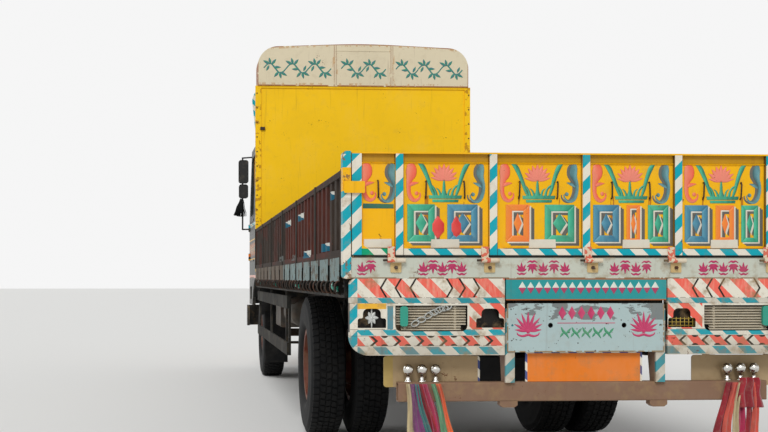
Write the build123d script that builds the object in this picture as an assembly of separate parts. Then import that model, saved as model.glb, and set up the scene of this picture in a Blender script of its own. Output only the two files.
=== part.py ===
from build123d import *
import os

# Decorated haulage truck, two axles, right-hand drive. Millimetres.
# +Y points to the front of the truck, +X to its right side, +Z up, ground at Z = 0.
# The origin lies on the ground under the middle of the overall length.

# Overall sizes
wheelbase = 5200
rear_overhang = 2930
front_overhang = 1440
cab_length = 2070
body_width = 2500
side_height = 460
tail_height = 527
headboard_height = 2105
headboard_thickness = 40
header_height = 495
header_depth = 280

# Running clearances
door_gap = 6
tail_gap = 6
shaft_clearance = 0.05
seat_clearance = 0.3
cloth_gap = 0.3

# Chassis frame
frame_top = 1030
frame_depth = 250
frame_width = 850
frame_flange = 70
frame_web = 8
frame_end_setback = 120

# Wheels and tyres
tyre_radius = 525
tyre_width = 270
tread_width = 212
shoulder_drop = 14
bead_width = 186
rim_seat_radius = 254
rim_flange_radius = 276
rim_width = 210
rim_wall = 12
front_tyre_x = 1000
rim_well = 16
rear_outer_x = 1020
dual_spacing = 320
hub_radius = 110
hub_nose_radius = 80
flange_radius = 130
disc_thickness = 14
drum_radius = 202
hand_hole_count = 8

# Axles and steering
kingpin_x = 820
kingpin_radius = 22
boss_radius = 45
boss_height = 110
beam_height = 90
beam_drop = 75
spindle_radius = 32
rear_spindle_radius = 50
steering_arm_length = 200
tie_rod_radius = 16

# Body carcass
runner_height = 110
bearer_height = 120
bearer_count = 18
bearer_width = 50
floor_thickness = 35
plank_count = 12
wall_thickness = 50
rail_height = 40
stake_count = 7
stake_width = 70
stake_proud = 8
flute_count = 36
flute_depth = 22
sheet_thickness = 10
rail_bar = 14
guard_height = 105

# Tail
hinge_radius = 12
hinge_pin_radius = 6
hinge_setback = 18
hinge_half_length = 46
tail_thickness = 45
tail_recess = 20
tail_post_width = 38
tail_frame_width = 50
tail_band = 36
tail_post_spacing = 485
hinge_shifts = (-20, -22, 30, -17, 5)
corner_post_width = 42
corner_post_gap = 6
beam_face_height = 110
beam_thickness = 60

# Lamp boards, plates and rear bumper
board_inner_x = 427
board_outer_x = 1225
board_height = 400
board_thickness = 55
board_corner = 95
arch_width = 146
arch_height = 132
arch_dome_width = 92
arch_dome_height = 60
grille_width = 372
grille_height = 132
grille_slats = 9
bumper_half_width = 970
bumper_bottom = 552
bumper_height = 100
bumper_depth = 60
hanger_x = 395
hanger_width = 48

# Cab shell
cab_half_width = 1200
cab_taper = 25
cab_back_gap = 90
cab_wall = 40
cab_mount_height = 160
cab_floor_thickness = 40
cab_skirt_drop = 340
cab_waist_height = 760
cab_wall_height = 1660
cab_front_setback = 90
cab_rake = 120
cab_corner = 130
roof_height = 190
crown_height = 690
mudguard_gap = 115
arch_gap = 15
mudguard_thickness = 6
door_front_setback = 270
door_width = 800
door_head = 50
window_head = 110
sill_height = 40
mirror_drop = 600
driver_x = 610

# Places worked out from the sizes
overall_length = hinge_radius + hinge_setback + rear_overhang + wheelbase + front_overhang
y_back = -overall_length / 2
y_nose = overall_length / 2
y_tail = y_back + hinge_setback + hinge_radius
y_rear_axle = y_tail + rear_overhang
y_front_axle = y_rear_axle + wheelbase
y_cab_front = y_nose - cab_front_setback
y_cab_back = y_cab_front - cab_length
cab_top_half_width = cab_half_width - cab_taper
y_body_front = y_cab_back - cab_back_gap
body_length = y_body_front - y_tail
frame_bottom = frame_top - frame_depth
rail_outer = frame_width / 2
rail_inner = rail_outer - frame_flange
y_frame_back = y_tail + frame_end_setback
y_frame_front = y_nose - 240
runner_top = frame_top + runner_height
bearer_top = runner_top + bearer_height
deck_height = bearer_top + floor_thickness
headboard_top = deck_height + headboard_height
cab_floor_z = frame_top + cab_mount_height
cab_skirt = cab_floor_z - cab_skirt_drop
cab_waist = cab_floor_z + cab_waist_height
cab_top = cab_floor_z + cab_wall_height
mirror_bottom = cab_top - mirror_drop
door_top = cab_top - door_head
window_sill = cab_waist + sill_height
window_top = cab_top - window_head
crown_top = cab_top + roof_height + crown_height
mudguard_radius = tyre_radius + mudguard_gap
arch_radius = mudguard_radius + arch_gap
half_body = body_width / 2
wall_top = deck_height + side_height
tail_bottom = deck_height + tail_gap
tail_top = tail_bottom + tail_height
half_tail = half_body - 36
y_wall_back = y_tail + beam_thickness
y_headboard = y_body_front - headboard_thickness
y_door_front = y_cab_front - door_front_setback
y_door_back = y_door_front - door_width
beam_bottom = deck_height - beam_face_height
board_bottom = beam_bottom - board_height
y_engine_back = y_front_axle - 200
y_engine_front = y_front_axle + 760
y_gearbox_back = y_engine_back - 640
y_shaft_bearing = y_rear_axle + 2000
shaft_front_z = frame_top - 215
bearer_pitch = (body_length - beam_thickness - headboard_thickness - bearer_width) / (bearer_count - 1)
bearer_places = [y_wall_back + bearer_width / 2 + i * bearer_pitch for i in range(bearer_count)]


# Small makers shared by the pieces
def block(x0, x1, y0, y1, z0, z1):
    """A rectangular block between two opposite corners."""
    return Pos((x0 + x1) / 2, (y0 + y1) / 2, (z0 + z1) / 2) * Box(abs(x1 - x0), abs(y1 - y0), abs(z1 - z0))


def rod(start, end, radius):
    """A round bar between two points."""
    a, b = Vector(*start), Vector(*end)
    return Part() + Solid.make_cylinder(radius, (b - a).length, Plane(origin=a, z_dir=b - a))


def outline(points, radii=0):
    """A flat face from corner points, each corner rounded by its own radius."""
    if radii == 0:
        return make_face(Polyline(*points, close=True))
    return make_face(FilletPolyline(*points, radius=radii, close=True))


def along_x(points, x0, x1, radii=0):
    """A (Y, Z) outline carried from x0 to x1."""
    face = Plane.YZ * outline(points, radii)
    return Pos(x0, 0, 0) * extrude(face, amount=x1 - x0, dir=(1, 0, 0))


def along_y(points, y0, y1, radii=0):
    """An (X, Z) outline carried from y0 to y1."""
    face = Plane.XZ * outline(points, radii)
    return Pos(0, y0, 0) * extrude(face, amount=y1 - y0, dir=(0, 1, 0))


def along_z(points, z0, z1, radii=0):
    """An (X, Y) outline carried from z0 to z1."""
    return Pos(0, 0, z0) * extrude(outline(points, radii), amount=z1 - z0, dir=(0, 0, 1))


def rectangle(a0, a1, b0, b1):
    """The four corners of an upright rectangle in a section plane."""
    return [(a0, b0), (a1, b0), (a1, b1), (a0, b1)]


def fused(pieces):
    """One part from a list of pieces, joined in a single step."""
    return Part() + pieces


def assembled(pieces):
    """One node of solids that stand face to face and stay separate."""
    return Compound([solid for piece in pieces for solid in piece.solids()])


def both(shape):
    """The shape and its mirror image across the truck's middle plane."""
    return shape + mirror(shape, Plane.YZ)


def turned(points, radii=0):
    """A solid of revolution about X from a (distance along X, radius) outline."""
    return revolve(outline(points, radii), axis=Axis.X)


def at_wheel(shape, x, y, side):
    """Puts a wheel piece made about the origin, outer side to +X, at its hub."""
    placed = shape if side > 0 else mirror(shape, Plane.YZ)
    return Pos(side * x, y, tyre_radius) * placed


# Chassis frame: two channels, open to the middle, and their crossmembers
def chassis_frame():
    channel = along_y(
        [(rail_inner, frame_bottom), (rail_outer, frame_bottom), (rail_outer, frame_top), (rail_inner, frame_top),
         (rail_inner, frame_top - frame_web), (rail_outer - frame_web, frame_top - frame_web),
         (rail_outer - frame_web, frame_bottom + frame_web), (rail_inner, frame_bottom + frame_web)],
        y_frame_back, y_frame_front)
    web = rail_outer - frame_web
    member_bottom, member_top = frame_bottom + 80, frame_top - 30
    members = []
    for y in (y_frame_back + 40, y_rear_axle - 760, y_rear_axle + 760, y_shaft_bearing,
              y_front_axle - 1500, y_frame_front - 60):
        members.append(along_x(
            [(y - 40, member_bottom), (y + 40, member_bottom), (y + 40, member_bottom + frame_web),
             (y - 40 + frame_web, member_bottom + frame_web), (y - 40 + frame_web, member_top - frame_web),
             (y + 40, member_top - frame_web), (y + 40, member_top), (y - 40, member_top)],
            -web, web))
    return assembled([channel, mirror(channel, Plane.YZ)] + members)


def front_axle_beam():
    """A forged beam, dropped in the middle, with a bored boss for each kingpin."""
    z = tyre_radius
    low, half = z - beam_drop, beam_height / 2
    end = kingpin_x - boss_radius + 10
    top = [(-end, z + half), (-600, z + half), (-470, low + half), (470, low + half), (600, z + half), (end, z + half)]
    bottom = [(end, z - half), (620, z - half), (490, low - half), (-490, low - half), (-620, z - half), (-end, z - half)]
    beam = along_y(top + bottom, y_front_axle - 42, y_front_axle + 42, [0, 60, 60, 60, 60, 0] * 2)
    pocket = along_y(rectangle(-430, 430, low - half + 16, low + half - 16), 0, 28)
    beam -= Pos(0, y_front_axle - 42, 0) * pocket
    beam -= Pos(0, y_front_axle + 14, 0) * pocket
    for side in (-1, 1):
        beam += Pos(side * kingpin_x, y_front_axle, z) * Cylinder(boss_radius, boss_height)
        beam -= Pos(side * kingpin_x, y_front_axle, z) * Cylinder(kingpin_radius + shaft_clearance, boss_height + 2)
        seat_x = side * (rail_outer + rail_inner) / 2
        beam += block(seat_x - 40, seat_x + 40, y_front_axle - 60, y_front_axle + 60, low + half - 5, front_spring_seat)
    return beam


front_spring_seat = tyre_radius - beam_drop + beam_height / 2 + 15
rear_spring_seat = tyre_radius + 85
rear_spring_x = 500
leaf_thickness = 14
leaf_length = 1500
spring_rise = 105


def leaf_pack(x, y, seat, leaves, width):
    """Stepped leaves, each an arc strip shorter than the one above, hung from shackle brackets."""
    radius = (leaf_length ** 2 / 4 + spring_rise ** 2) / (2 * spring_rise)
    pack = Sketch()
    for i in range(leaves):
        lower = seat + (leaves - 1 - i) * leaf_thickness
        reach = leaf_length / 2 - i * leaf_length / 2 / (leaves + 1)
        centre = lower + radius
        outer, inner = radius, radius - leaf_thickness
        ends = []
        for r in (outer, inner):
            drop = (r ** 2 - reach ** 2) ** 0.5
            ends.append((centre - drop, centre - r))
        (end_low, mid_low), (end_high, mid_high) = ends
        strip = Wire([
            Edge.make_three_point_arc((-reach, end_low), (0, mid_low), (reach, end_low)),
            Edge.make_line((reach, end_low), (reach, end_high)),
            Edge.make_three_point_arc((reach, end_high), (0, mid_high), (-reach, end_high)),
            Edge.make_line((-reach, end_high), (-reach, end_low))])
        pack += Sketch() + Face(strip)
    return Pos(x - width / 2, y, 0) * extrude(Plane.YZ * pack, amount=width, dir=(1, 0, 0))


def leaf_springs():
    """Front packs under the rails and rear packs beside them, with U-bolts and hanger brackets."""
    packs = Part()
    x_front = (rail_outer + rail_inner) / 2
    reach = leaf_length / 2
    for seat, leaves, x, y, width in (
            (front_spring_seat, 4, x_front, y_front_axle, 66), (rear_spring_seat, 6, rear_spring_x, y_rear_axle, 74)):
        pack = leaf_pack(x, y, seat, leaves, width)
        top = seat + leaves * leaf_thickness
        end_z = seat + (leaves - 1) * leaf_thickness + spring_rise
        pack += block(x - width / 2 - 6, x + width / 2 + 6, y - 55, y + 55, seat, top + 14)
        for end in (-1, 1):
            eye = y + end * (reach - 12)
            pack += Pos(x, eye, end_z + 8) * Rot(0, 90, 0) * Cylinder(24, width)
            if x < rail_outer:
                pack += along_x([(eye - 34, end_z), (eye + 34, end_z), (eye + 60, frame_bottom), (eye - 60, frame_bottom)],
                                x - width / 2 + 4, x + width / 2 - 4)
            else:
                pack += along_x([(eye - 34, end_z), (eye + 34, end_z), (eye + 70, frame_bottom + 110),
                                 (eye - 70, frame_bottom + 110)], rail_outer, x + width / 2 - 4)
        packs += both(pack)
    return packs


def rear_axle_housing():
    """Banjo housing turned about the wheel axis, with its nose and spring seats."""
    end = rear_outer_x + 30
    half = [(0, 0), (0, 205), (70, 205), (190, 150), (330, 72), (600, 66), (600, rear_spindle_radius),
            (end, rear_spindle_radius), (end, 0)]
    housing = both(turned(half, [0, 0, 60, 60, 60, 0, 0, 0, 0]))
    housing = Pos(0, y_rear_axle, tyre_radius) * housing
    nose = Solid.make_cone(135, 62, 330, Plane(origin=(0, y_rear_axle + 60, tyre_radius), z_dir=(0, 1, 0)))
    housing += nose
    for side in (-1, 1):
        x = side * rear_spring_x
        housing += block(x - 42, x + 42, y_rear_axle - 70, y_rear_axle + 70, tyre_radius, rear_spring_seat)
    return housing


def knuckle(side):
    """Forked stub axle: kingpin, spindle and the arm that the tie rod turns."""
    x, y, z = side * kingpin_x, y_front_axle, tyre_radius
    ear_low, ear_high = boss_height / 2 + 5, boss_height / 2 + 33
    fork_x = side * (kingpin_x + boss_radius + 6)
    piece = Pos(x, y, z) * Cylinder(kingpin_radius, 2 * ear_high)
    for sign in (-1, 1):
        ear = Pos(x, y, z + sign * (ear_low + ear_high) / 2) * Cylinder(boss_radius - 5, ear_high - ear_low)
        ear += block(x, fork_x + side * 16, y - 34, y + 34, z + sign * ear_low, z + sign * ear_high)
        piece += ear
    piece += block(fork_x, fork_x + side * 26, y - 48, y + 48, z - ear_high, z + ear_high)
    piece += rod((fork_x, y, z), (side * (front_tyre_x + 78), y, z), spindle_radius)
    arm_y = y - steering_arm_length
    piece += along_z([(x - 20, y), (x + 20, y), (x + 16, arm_y), (x - 16, arm_y)], z - ear_high, z - ear_low)
    piece += Pos(x, arm_y, z - (ear_low + ear_high) / 2) * Cylinder(24, ear_high - ear_low)
    piece -= Pos(x, arm_y, z - (ear_low + ear_high) / 2) * Cylinder(12 + shaft_clearance, 60)
    return piece


def tie_rod():
    """Cross rod behind the axle, its two ball pins standing in the steering arms."""
    y = y_front_axle - steering_arm_length
    arm_low = tyre_radius - boss_height / 2 - 33
    z = arm_low - 26
    piece = rod((-kingpin_x, y, z), (kingpin_x, y, z), tie_rod_radius)
    for side in (-1, 1):
        piece += Pos(side * kingpin_x, y, z) * Sphere(25)
        piece += rod((side * kingpin_x, y, z), (side * kingpin_x, y, arm_low + 26), 12)
    return piece


# Wheels: a revolved rim with its dished disc and hub, and a solid ring for the tyre
def rim_ring():
    half = rim_width / 2
    seat, flange = rim_seat_radius, rim_flange_radius
    well = seat - rim_well
    outer = [(-half, flange), (-half + rim_wall, flange), (-half + rim_wall, seat), (-half + 50, seat), (-half + 70, well),
             (half - 70, well), (half - 50, seat), (half - rim_wall, seat), (half - rim_wall, flange), (half, flange)]
    inner = [(half, seat - rim_wall), (half - 56, seat - rim_wall), (half - 76, well - rim_wall),
             (-half + 76, well - rim_wall), (-half + 56, seat - rim_wall), (-half, seat - rim_wall)]
    return turned(outer + inner)


def disc(hub_face, rim_face, bore):
    """A dished wheel disc from the rim well in to the hub, pierced by hand holes."""
    edge = rim_seat_radius - rim_well - rim_wall + 4
    t = disc_thickness
    plate = turned([(rim_face, edge), (rim_face - t, edge), (rim_face - t, edge - 40), (hub_face - t, flange_radius),
                    (hub_face - t, bore), (hub_face, bore), (hub_face, flange_radius), (rim_face, edge - 40)])
    holes = [Rot(360 / hand_hole_count * (i + 0.5), 0, 0) * Pos(0, 0, (edge + flange_radius) / 2 - 10)
             * Rot(0, 90, 0) * Cylinder(22, 4 * rim_width) for i in range(hand_hole_count)]
    return plate - holes


def front_rim():
    """Steered wheel: the disc is bolted outboard on a hub that turns on the stub axle, before its drum."""
    face = 62
    seat = face - disc_thickness
    wheel = rim_ring() + disc(face, 30, hub_nose_radius + seat_clearance)
    bore = spindle_radius + shaft_clearance
    hub = turned([(-60, bore), (-60, 95), (seat - 30, 95), (seat - 18, flange_radius), (seat, flange_radius),
                  (seat, hub_nose_radius), (118, hub_nose_radius - 10), (118, 0), (84, 0), (84, bore)])
    drum = turned([(-92, drum_radius - 14), (-92, drum_radius), (6, drum_radius), (6, 170), (seat - 12, 120),
                   (seat - 26, 118), (-8, 166), (-8, drum_radius - 14)])
    return assembled([wheel, hub + drum])


def rear_rims():
    """Twin wheels bolted back to back on one hub flange, with the brake drum inside the inner one."""
    middle = -dual_spacing / 2
    outer = rim_ring() + disc(middle + disc_thickness, -14, hub_radius)
    inner = Pos(-dual_spacing, 0, 0) * mirror(outer, Plane.YZ)
    bore = rear_spindle_radius + shaft_clearance
    seat = middle - disc_thickness
    hub = turned([(-dual_spacing - 60, bore), (-dual_spacing - 60, 100), (seat - 26, 100), (seat - 26, flange_radius),
                  (seat, flange_radius), (seat, hub_radius), (-40, 92), (40, 84), (40, 60), (58, 60), (58, 0), (34, 0),
                  (34, bore)])
    front = -dual_spacing + 2
    drum = turned([(front - 122, drum_radius - 14), (front - 122, drum_radius), (front, drum_radius), (front, 168),
                   (seat - 10, 118), (seat - 24, 112), (front - 14, 160), (front - 14, drum_radius - 14)])
    return assembled([outer, inner, hub + drum])


def tyre():
    """One tyre ring: bead, bulged wall, rounded shoulder and flat tread."""
    half, bead, tread = tyre_width / 2, bead_width / 2 - 1, tread_width / 2
    low = rim_seat_radius + seat_clearance
    shoulder = tyre_radius - shoulder_drop
    lip = rim_flange_radius + 3
    points = [(-bead, low), (bead, low), (bead, lip), (half, low + 95), (half, low + 150), (tread + 8, shoulder),
              (tread - 8, tyre_radius), (-tread + 8, tyre_radius), (-tread - 8, shoulder), (-half, low + 150),
              (-half, low + 95), (-bead, lip)]
    return turned(points, [0, 0, 12, 60, 60, 18, 10, 10, 18, 60, 60, 12])


def spare_wheel():
    """A wheel lying flat under the rear overhang on its hanger plate."""
    z = frame_bottom - 20 - tyre_width / 2
    y = y_rear_axle - 1640
    wheel = Pos(0, y, z) * Rot(0, -90, 0) * (tyre() + rim_ring() + disc(62, 30, 60))
    carrier = block(-rail_outer + 20, rail_outer - 20, y - 60, y + 60, frame_bottom - 12, frame_bottom)
    carrier += rod((0, y, frame_bottom - 12), (0, y, z - 20), 59)
    return wheel + carrier


# Driveline and chassis fittings
def engine_block():
    """Plain engine mass with its bell housing and gearbox tapering to the output flange."""
    half = rail_inner - 65
    engine = block(-half, half, y_engine_back, y_engine_front, frame_bottom - 130, cab_floor_z + 330)
    z = frame_top - 70
    bell = Solid.make_cone(235, 165, 260, Plane(origin=(0, y_engine_back, z), z_dir=(0, -1, 0)))
    box = along_y([(-150, z - 190), (150, z - 190), (150, z + 150), (-150, z + 150)], y_gearbox_back, y_engine_back - 240, 40)
    out = rod((0, y_gearbox_back, shaft_front_z), (0, y_gearbox_back - 50, shaft_front_z), 62)
    return fused([engine, bell, box, out])


def propeller_shaft():
    """Tube from gearbox to axle, with flanges and a centre bearing hung from a crossmember."""
    start = Vector(0, y_gearbox_back - 50, shaft_front_z)
    end = Vector(0, y_rear_axle + 390, tyre_radius)
    slope = (end.Z - start.Z) / (end.Y - start.Y)
    bearing = Vector(0, y_shaft_bearing, start.Z + slope * (y_shaft_bearing - start.Y))
    run = (end - start).normalized()
    shaft = [rod(start - run * 20, end + run * 20, 46)]
    for a, b in ((start - run * 20, start + run * 22), (end - run * 22, end + run * 20)):
        shaft.append(rod(a, b, 72))
    shaft.append(rod(bearing - run * 26, bearing + run * 26, 68))
    shaft.append(block(-42, 42, bearing.Y - 14, bearing.Y + 14, bearing.Z, frame_bottom + 80))
    return fused(shaft) & block(-200, 200, end.Y, start.Y, 300, frame_top)


def fuel_tank():
    """Rounded tank on two straps at the right side."""
    y0, y1 = y_front_axle - 3200, y_front_axle - 2000
    section = rectangle(rail_outer + 50, rail_outer + 640, frame_bottom - 230, frame_top - 40)
    tank = along_y(section, y0, y1, 90)
    for y in (y0 + 200, y1 - 200):
        strap = rectangle(rail_outer + 46, rail_outer + 644, frame_bottom - 234, frame_top - 36)
        tank += along_y(strap, y - 30, y + 30, 94)
        tank += block(rail_outer, rail_outer + 60, y - 40, y + 40, frame_bottom + 20, frame_top - 60)
    tank += rod((rail_outer + 450, y1 - 90, frame_top - 60), (rail_outer + 450, y1 - 90, frame_top + 10), 45)
    return tank


def chassis_boxes():
    """Battery box and two air reservoirs at the left side, on their brackets."""
    x0, x1 = -rail_outer - 610, -rail_outer - 30
    y0 = y_front_axle - 1750
    pieces = along_y(rectangle(x0, x1, frame_bottom - 120, frame_top - 60), y0, y0 + 620, 24)
    pieces += block(x1 - 5, -rail_outer, y0 + 60, y0 + 120, frame_bottom + 20, frame_top - 80)
    pieces += block(x1 - 5, -rail_outer, y0 + 500, y0 + 560, frame_bottom + 20, frame_top - 80)
    for x in (-rail_outer - 190, -rail_outer - 480):
        y1 = y0 - 260
        pieces += Pos(x, y1 - 450, frame_bottom + 60) * Rot(90, 0, 0) * fillet(
            Cylinder(125, 900).edges().filter_by(GeomType.CIRCLE), 45)
    for y in (y0 - 1000, y0 - 420):
        pieces += block(-rail_outer - 620, -rail_outer, y - 25, y + 25, frame_bottom + 150, frame_bottom + 200)
    return pieces


def exhaust():
    """Silencer under the right rail with its down pipe and side outlet."""
    x, z = rail_outer + 175, frame_bottom - 95
    y0, y1 = y_front_axle - 1760, y_front_axle - 1100
    can = Pos(x, (y0 + y1) / 2, z) * Rot(90, 0, 0) * fillet(Cylinder(105, y1 - y0).edges().filter_by(GeomType.CIRCLE), 30)
    inlet = FilletPolyline((x, y1 - 10, z), (x, y1 + 60, z), (rail_inner - 110, y1 + 240, z),
                           (rail_inner - 110, y_engine_back, z), radius=55)
    pipe = sweep((inlet ^ 0) * Circle(38), path=inlet)
    outlet = FilletPolyline((x, y0 + 10, z), (x, y0 - 60, z), (half_body - 130, y0 - 60, z - 20), radius=50)
    tail_pipe = sweep((outlet ^ 0) * Circle(38), path=outlet)
    hangers = Part()
    for y in (y0 + 120, y1 - 120):
        hangers += block(rail_outer, x + 20, y - 20, y + 20, frame_bottom, frame_bottom + 40)
        hangers += block(x - 20, x + 20, y - 20, y + 20, z + 100, frame_bottom + 40)
    return can + pipe + tail_pipe + hangers


# Load body
def underframe():
    """Runners on the chassis, channel bearers across them and a rope bar along each side."""
    reach = half_body - 4
    t = 10
    bar_top = runner_top - 41
    x0, x1 = half_body - 6 - rail_bar, half_body - 6
    pieces = []
    for y in bearer_places:
        y0, y1 = y - bearer_width / 2, y + bearer_width / 2
        bearer = along_x([(y0, runner_top), (y1, runner_top), (y1, runner_top + t), (y0 + t, runner_top + t),
                          (y0 + t, bearer_top - t), (y1, bearer_top - t), (y1, bearer_top), (y0, bearer_top)],
                         -reach, reach)
        pieces.append(bearer + both(block(x0, x1, y0, y0 + t, bar_top, runner_top + t)))
    for side in (-1, 1):
        pieces.append(block(side * rail_inner, side * rail_outer, y_wall_back, y_body_front, frame_top, runner_top))
        pieces.append(block(side * x0, side * x1, bearer_places[0] - bearer_width / 2, bearer_places[-1],
                            bar_top - rail_bar, bar_top))
    return assembled(pieces)


def deck_floor():
    """Plank floor between the walls, grooved along each joint."""
    half = half_body - wall_thickness - seat_clearance
    floor = block(-half, half, y_wall_back, y_headboard - seat_clearance, bearer_top, deck_height)
    plank = 2 * half / plank_count
    grooves = [block(x - 3, x + 3, y_wall_back - 1, y_headboard, deck_height - 6, deck_height + 1)
               for x in (-half + i * plank for i in range(1, plank_count))]
    return floor - grooves


def side_wall(side):
    """Fluted sheet between a bottom and a top rail, held by stakes."""
    y0, y1 = y_wall_back, y_headboard
    outer, inner = half_body, half_body - wall_thickness
    pitch = (y1 - y0) / flute_count
    high, low = outer - 4, outer - 4 - flute_depth
    wave = []
    for i in range(flute_count):
        y = y0 + i * pitch
        wave += [(low, y), (low, y + 0.3 * pitch), (high, y + 0.45 * pitch), (high, y + 0.85 * pitch)]
    wave.append((low, y1))
    back = [(x - sheet_thickness, y) for x, y in reversed(wave)]
    pieces = [along_z(wave + back, deck_height + rail_height - 2, wall_top - rail_height + 2),
              block(inner, outer, y0, y1, bearer_top, deck_height + rail_height),
              along_y(rectangle(inner, outer, wall_top - rail_height, wall_top), y0, y1, [0, 0, 12, 12])]
    for i in range(stake_count):
        y = y0 + stake_width / 2 + i * (y1 - y0 - stake_width) / (stake_count - 1)
        half = stake_width / 2
        pieces.append(along_z([(inner + 2, y - half), (outer, y - half), (outer + stake_proud, y - half + 14),
                               (outer + stake_proud, y + half - 14), (outer, y + half), (inner + 2, y + half)],
                              deck_height, wall_top - 6))
    wall = fused(pieces)
    return wall if side > 0 else mirror(wall, Plane.YZ)


def headboard():
    """Tall front wall of the load body: a sheet in a riveted angle frame."""
    rim, proud = 65, 12
    y0, y1 = y_headboard, y_body_front
    wall = block(-half_body, half_body, y0 + proud, y1, bearer_top, headboard_top)
    frame = block(-half_body, half_body, y0, y0 + proud, bearer_top, headboard_top)
    frame -= block(-half_body + rim, half_body - rim, y0, y0 + proud, deck_height, headboard_top - 24)
    wall += frame
    for x in (-400, 400):
        wall += block(x - 25, x + 25, y1, y1 + 30, bearer_top, headboard_top)
    return wall


def header_box():
    """Arched name box standing on the headboard, seamed into three panels."""
    half, base = half_body - 25, headboard_top
    top = base + header_height
    y0, y1 = y_headboard - 10, y_headboard - 10 + header_depth
    box = along_y([(-half, base), (half, base), (half, top - 52), (0, top), (-half, top - 52)], y0, y1,
                  [0, 0, 235, 8000, 235])
    hollow = along_y([(-half + 25, base - 1), (half - 25, base - 1), (half - 25, top - 78), (0, top - 26),
                      (-half + 25, top - 78)], y0 + 25, y1 - 25, [0, 0, 210, 8000, 210])
    box -= hollow
    for x in (-330, 330):
        box += block(x - 11, x + 11, y0 - 4, y0, base, top - 40)
    box += block(-319, 319, y0 - 4, y0, top - 90, top - 78)
    box += block(-half, half, y0, y0 + header_depth, base, base + 20) - block(
        -half + 60, half - 60, y0 + 60, y1 - 40, base - 1, base + 21)
    return box


def rear_frame():
    """Rear cross beam with the fixed hinge eyes, and the two corner posts."""
    y0 = y_tail
    frame = along_y(rectangle(-board_outer_x - 10, board_outer_x + 10, beam_bottom, deck_height), y0, y0 + beam_thickness)
    post_inner = half_tail + corner_post_gap
    post = along_y(rectangle(post_inner, post_inner + corner_post_width, beam_bottom - 2, tail_top + 4),
                   y0 - 4, y0 + beam_thickness, [0, 20, 20, 0])
    post -= block(post_inner - 1, board_outer_x + 10, y0, y0 + beam_thickness, beam_bottom - 5, deck_height)
    frame += both(post)
    y_pin, z_pin = hinge_axis
    for x in hinge_places():
        frame += rod((x, y_pin, z_pin), (x + hinge_half_length, y_pin, z_pin), hinge_radius)
        frame += rod((x - hinge_half_length - 22, y_pin, z_pin), (x + 1, y_pin, z_pin), hinge_pin_radius)
        frame += block(x, x + hinge_half_length, y_pin, y0, z_pin - 11, z_pin + 6)
        frame += along_y(rectangle(x - 28, x + 28, z_pin - 62, z_pin - 13), y0 - 7, y0, 6)
        frame += block(x, x + 28, y0 - 7, y0, z_pin - 20, z_pin)
    return frame


hinge_axis = (y_tail - hinge_setback, deck_height - hinge_setback)


def hinge_places():
    """The X of each tailgate hinge: one by each post, a little to its own side."""
    return [(i - 2) * tail_post_spacing + shift for i, shift in enumerate(hinge_shifts)]


def tailgate():
    """Drop-down tail: recessed sheet, striped posts and band, top lip, hinge eyes and end latches."""
    y0, z0, z1 = y_tail, tail_bottom, tail_top
    gate = block(-half_tail, half_tail, y0 + tail_recess, y0 + tail_thickness, z0, z1)
    gate += block(-half_tail, half_tail, y0, y0 + tail_recess, z1 - 8, z1)
    gate += along_x([(y0 + tail_recess - 9, z1 - 52), (y0 + tail_recess, z1 - 58), (y0 + tail_recess, z1 - 46)],
                    -half_tail, half_tail)
    gate += block(-half_tail, half_tail, y0 + 4, y0 + tail_recess, z0, z0 + tail_band)
    half_post = tail_post_width / 2
    edges = [(x - half_post, x + half_post) for x in (i * tail_post_spacing for i in (-2, -1, 0, 1, 2))]
    edges += [(-half_tail, -half_tail + tail_frame_width), (half_tail - tail_frame_width, half_tail)]
    for x0, x1 in edges:
        gate += block(x0, x1, y0, y0 + tail_recess, z0, z1 - 8)
        corner = 46
        foot = along_y([(x1, z0 + tail_band), (x1 + corner, z0 + tail_band), (x1, z0 + tail_band + corner)],
                       y0 + 4, y0 + tail_recess)
        round_cut = Pos(x1 + corner, y0, z0 + tail_band + corner) * Rot(90, 0, 0) * Cylinder(corner, 100)
        if x1 + corner < half_tail:
            gate += foot - round_cut
    y_pin, z_pin = hinge_axis
    eye_bore = hinge_pin_radius + shaft_clearance
    for x in hinge_places():
        eye = rod((x - hinge_half_length, y_pin, z_pin), (x - 1, y_pin, z_pin), hinge_radius)
        eye += block(x - hinge_half_length + 4, x - 5, y_pin, y0, z_pin + 4, z_pin + 16)
        eye += block(x - hinge_half_length + 4, x - 5, y0 - 6, y0, z_pin + 4, z0 + 46)
        eye += block(x - hinge_half_length + 4, x - 5, y0 - 6, y0 + 8, z0, z0 + 20)
        eye -= rod((x - hinge_half_length - 1, y_pin, z_pin), (x, y_pin, z_pin), eye_bore)
        gate += eye
    latch_z = z1 - 180
    reach = corner_post_gap + corner_post_width
    latch = along_y(rectangle(half_tail - 64, half_tail + reach - 6, latch_z - 30, latch_z + 30), y0 - 16, y0 - 10, 6)
    latch += block(half_tail - 64, half_tail - 10, y0 - 11, y0, latch_z - 26, latch_z + 26)
    gate += both(latch)
    return gate


# Rear lamp boards, plates and bumper
arch_places = (-1045, -505)
grille_place = -806
lamp_row_top = beam_bottom - 138


def lamp_boards():
    """Painted boards under the beam, each with two domed lamp recesses and a louvred opening."""
    y0, y1 = y_tail, y_tail + board_thickness
    board = along_y(rectangle(-board_outer_x, -board_inner_x, board_bottom, beam_bottom), y0, y1,
                    [board_corner, 4, 4, 30])
    recess = 38
    low = lamp_row_top - arch_height
    for x in arch_places:
        w, d = arch_width / 2, arch_dome_width / 2
        shoulder = lamp_row_top - arch_dome_height
        board -= along_y([(x - w, low), (x + w, low), (x + w, shoulder), (x + d, shoulder), (x + d, lamp_row_top),
                          (x - d, lamp_row_top), (x - d, shoulder), (x - w, shoulder)], y0, y0 + recess,
                         [0, 0, 12, 8, 26, 26, 8, 12])
    board -= along_y(rectangle(grille_place - grille_width / 2, grille_place + grille_width / 2, low, low + grille_height),
                     y0, y0 + recess, [30, 30, 4, 4])
    return both(board)


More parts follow.
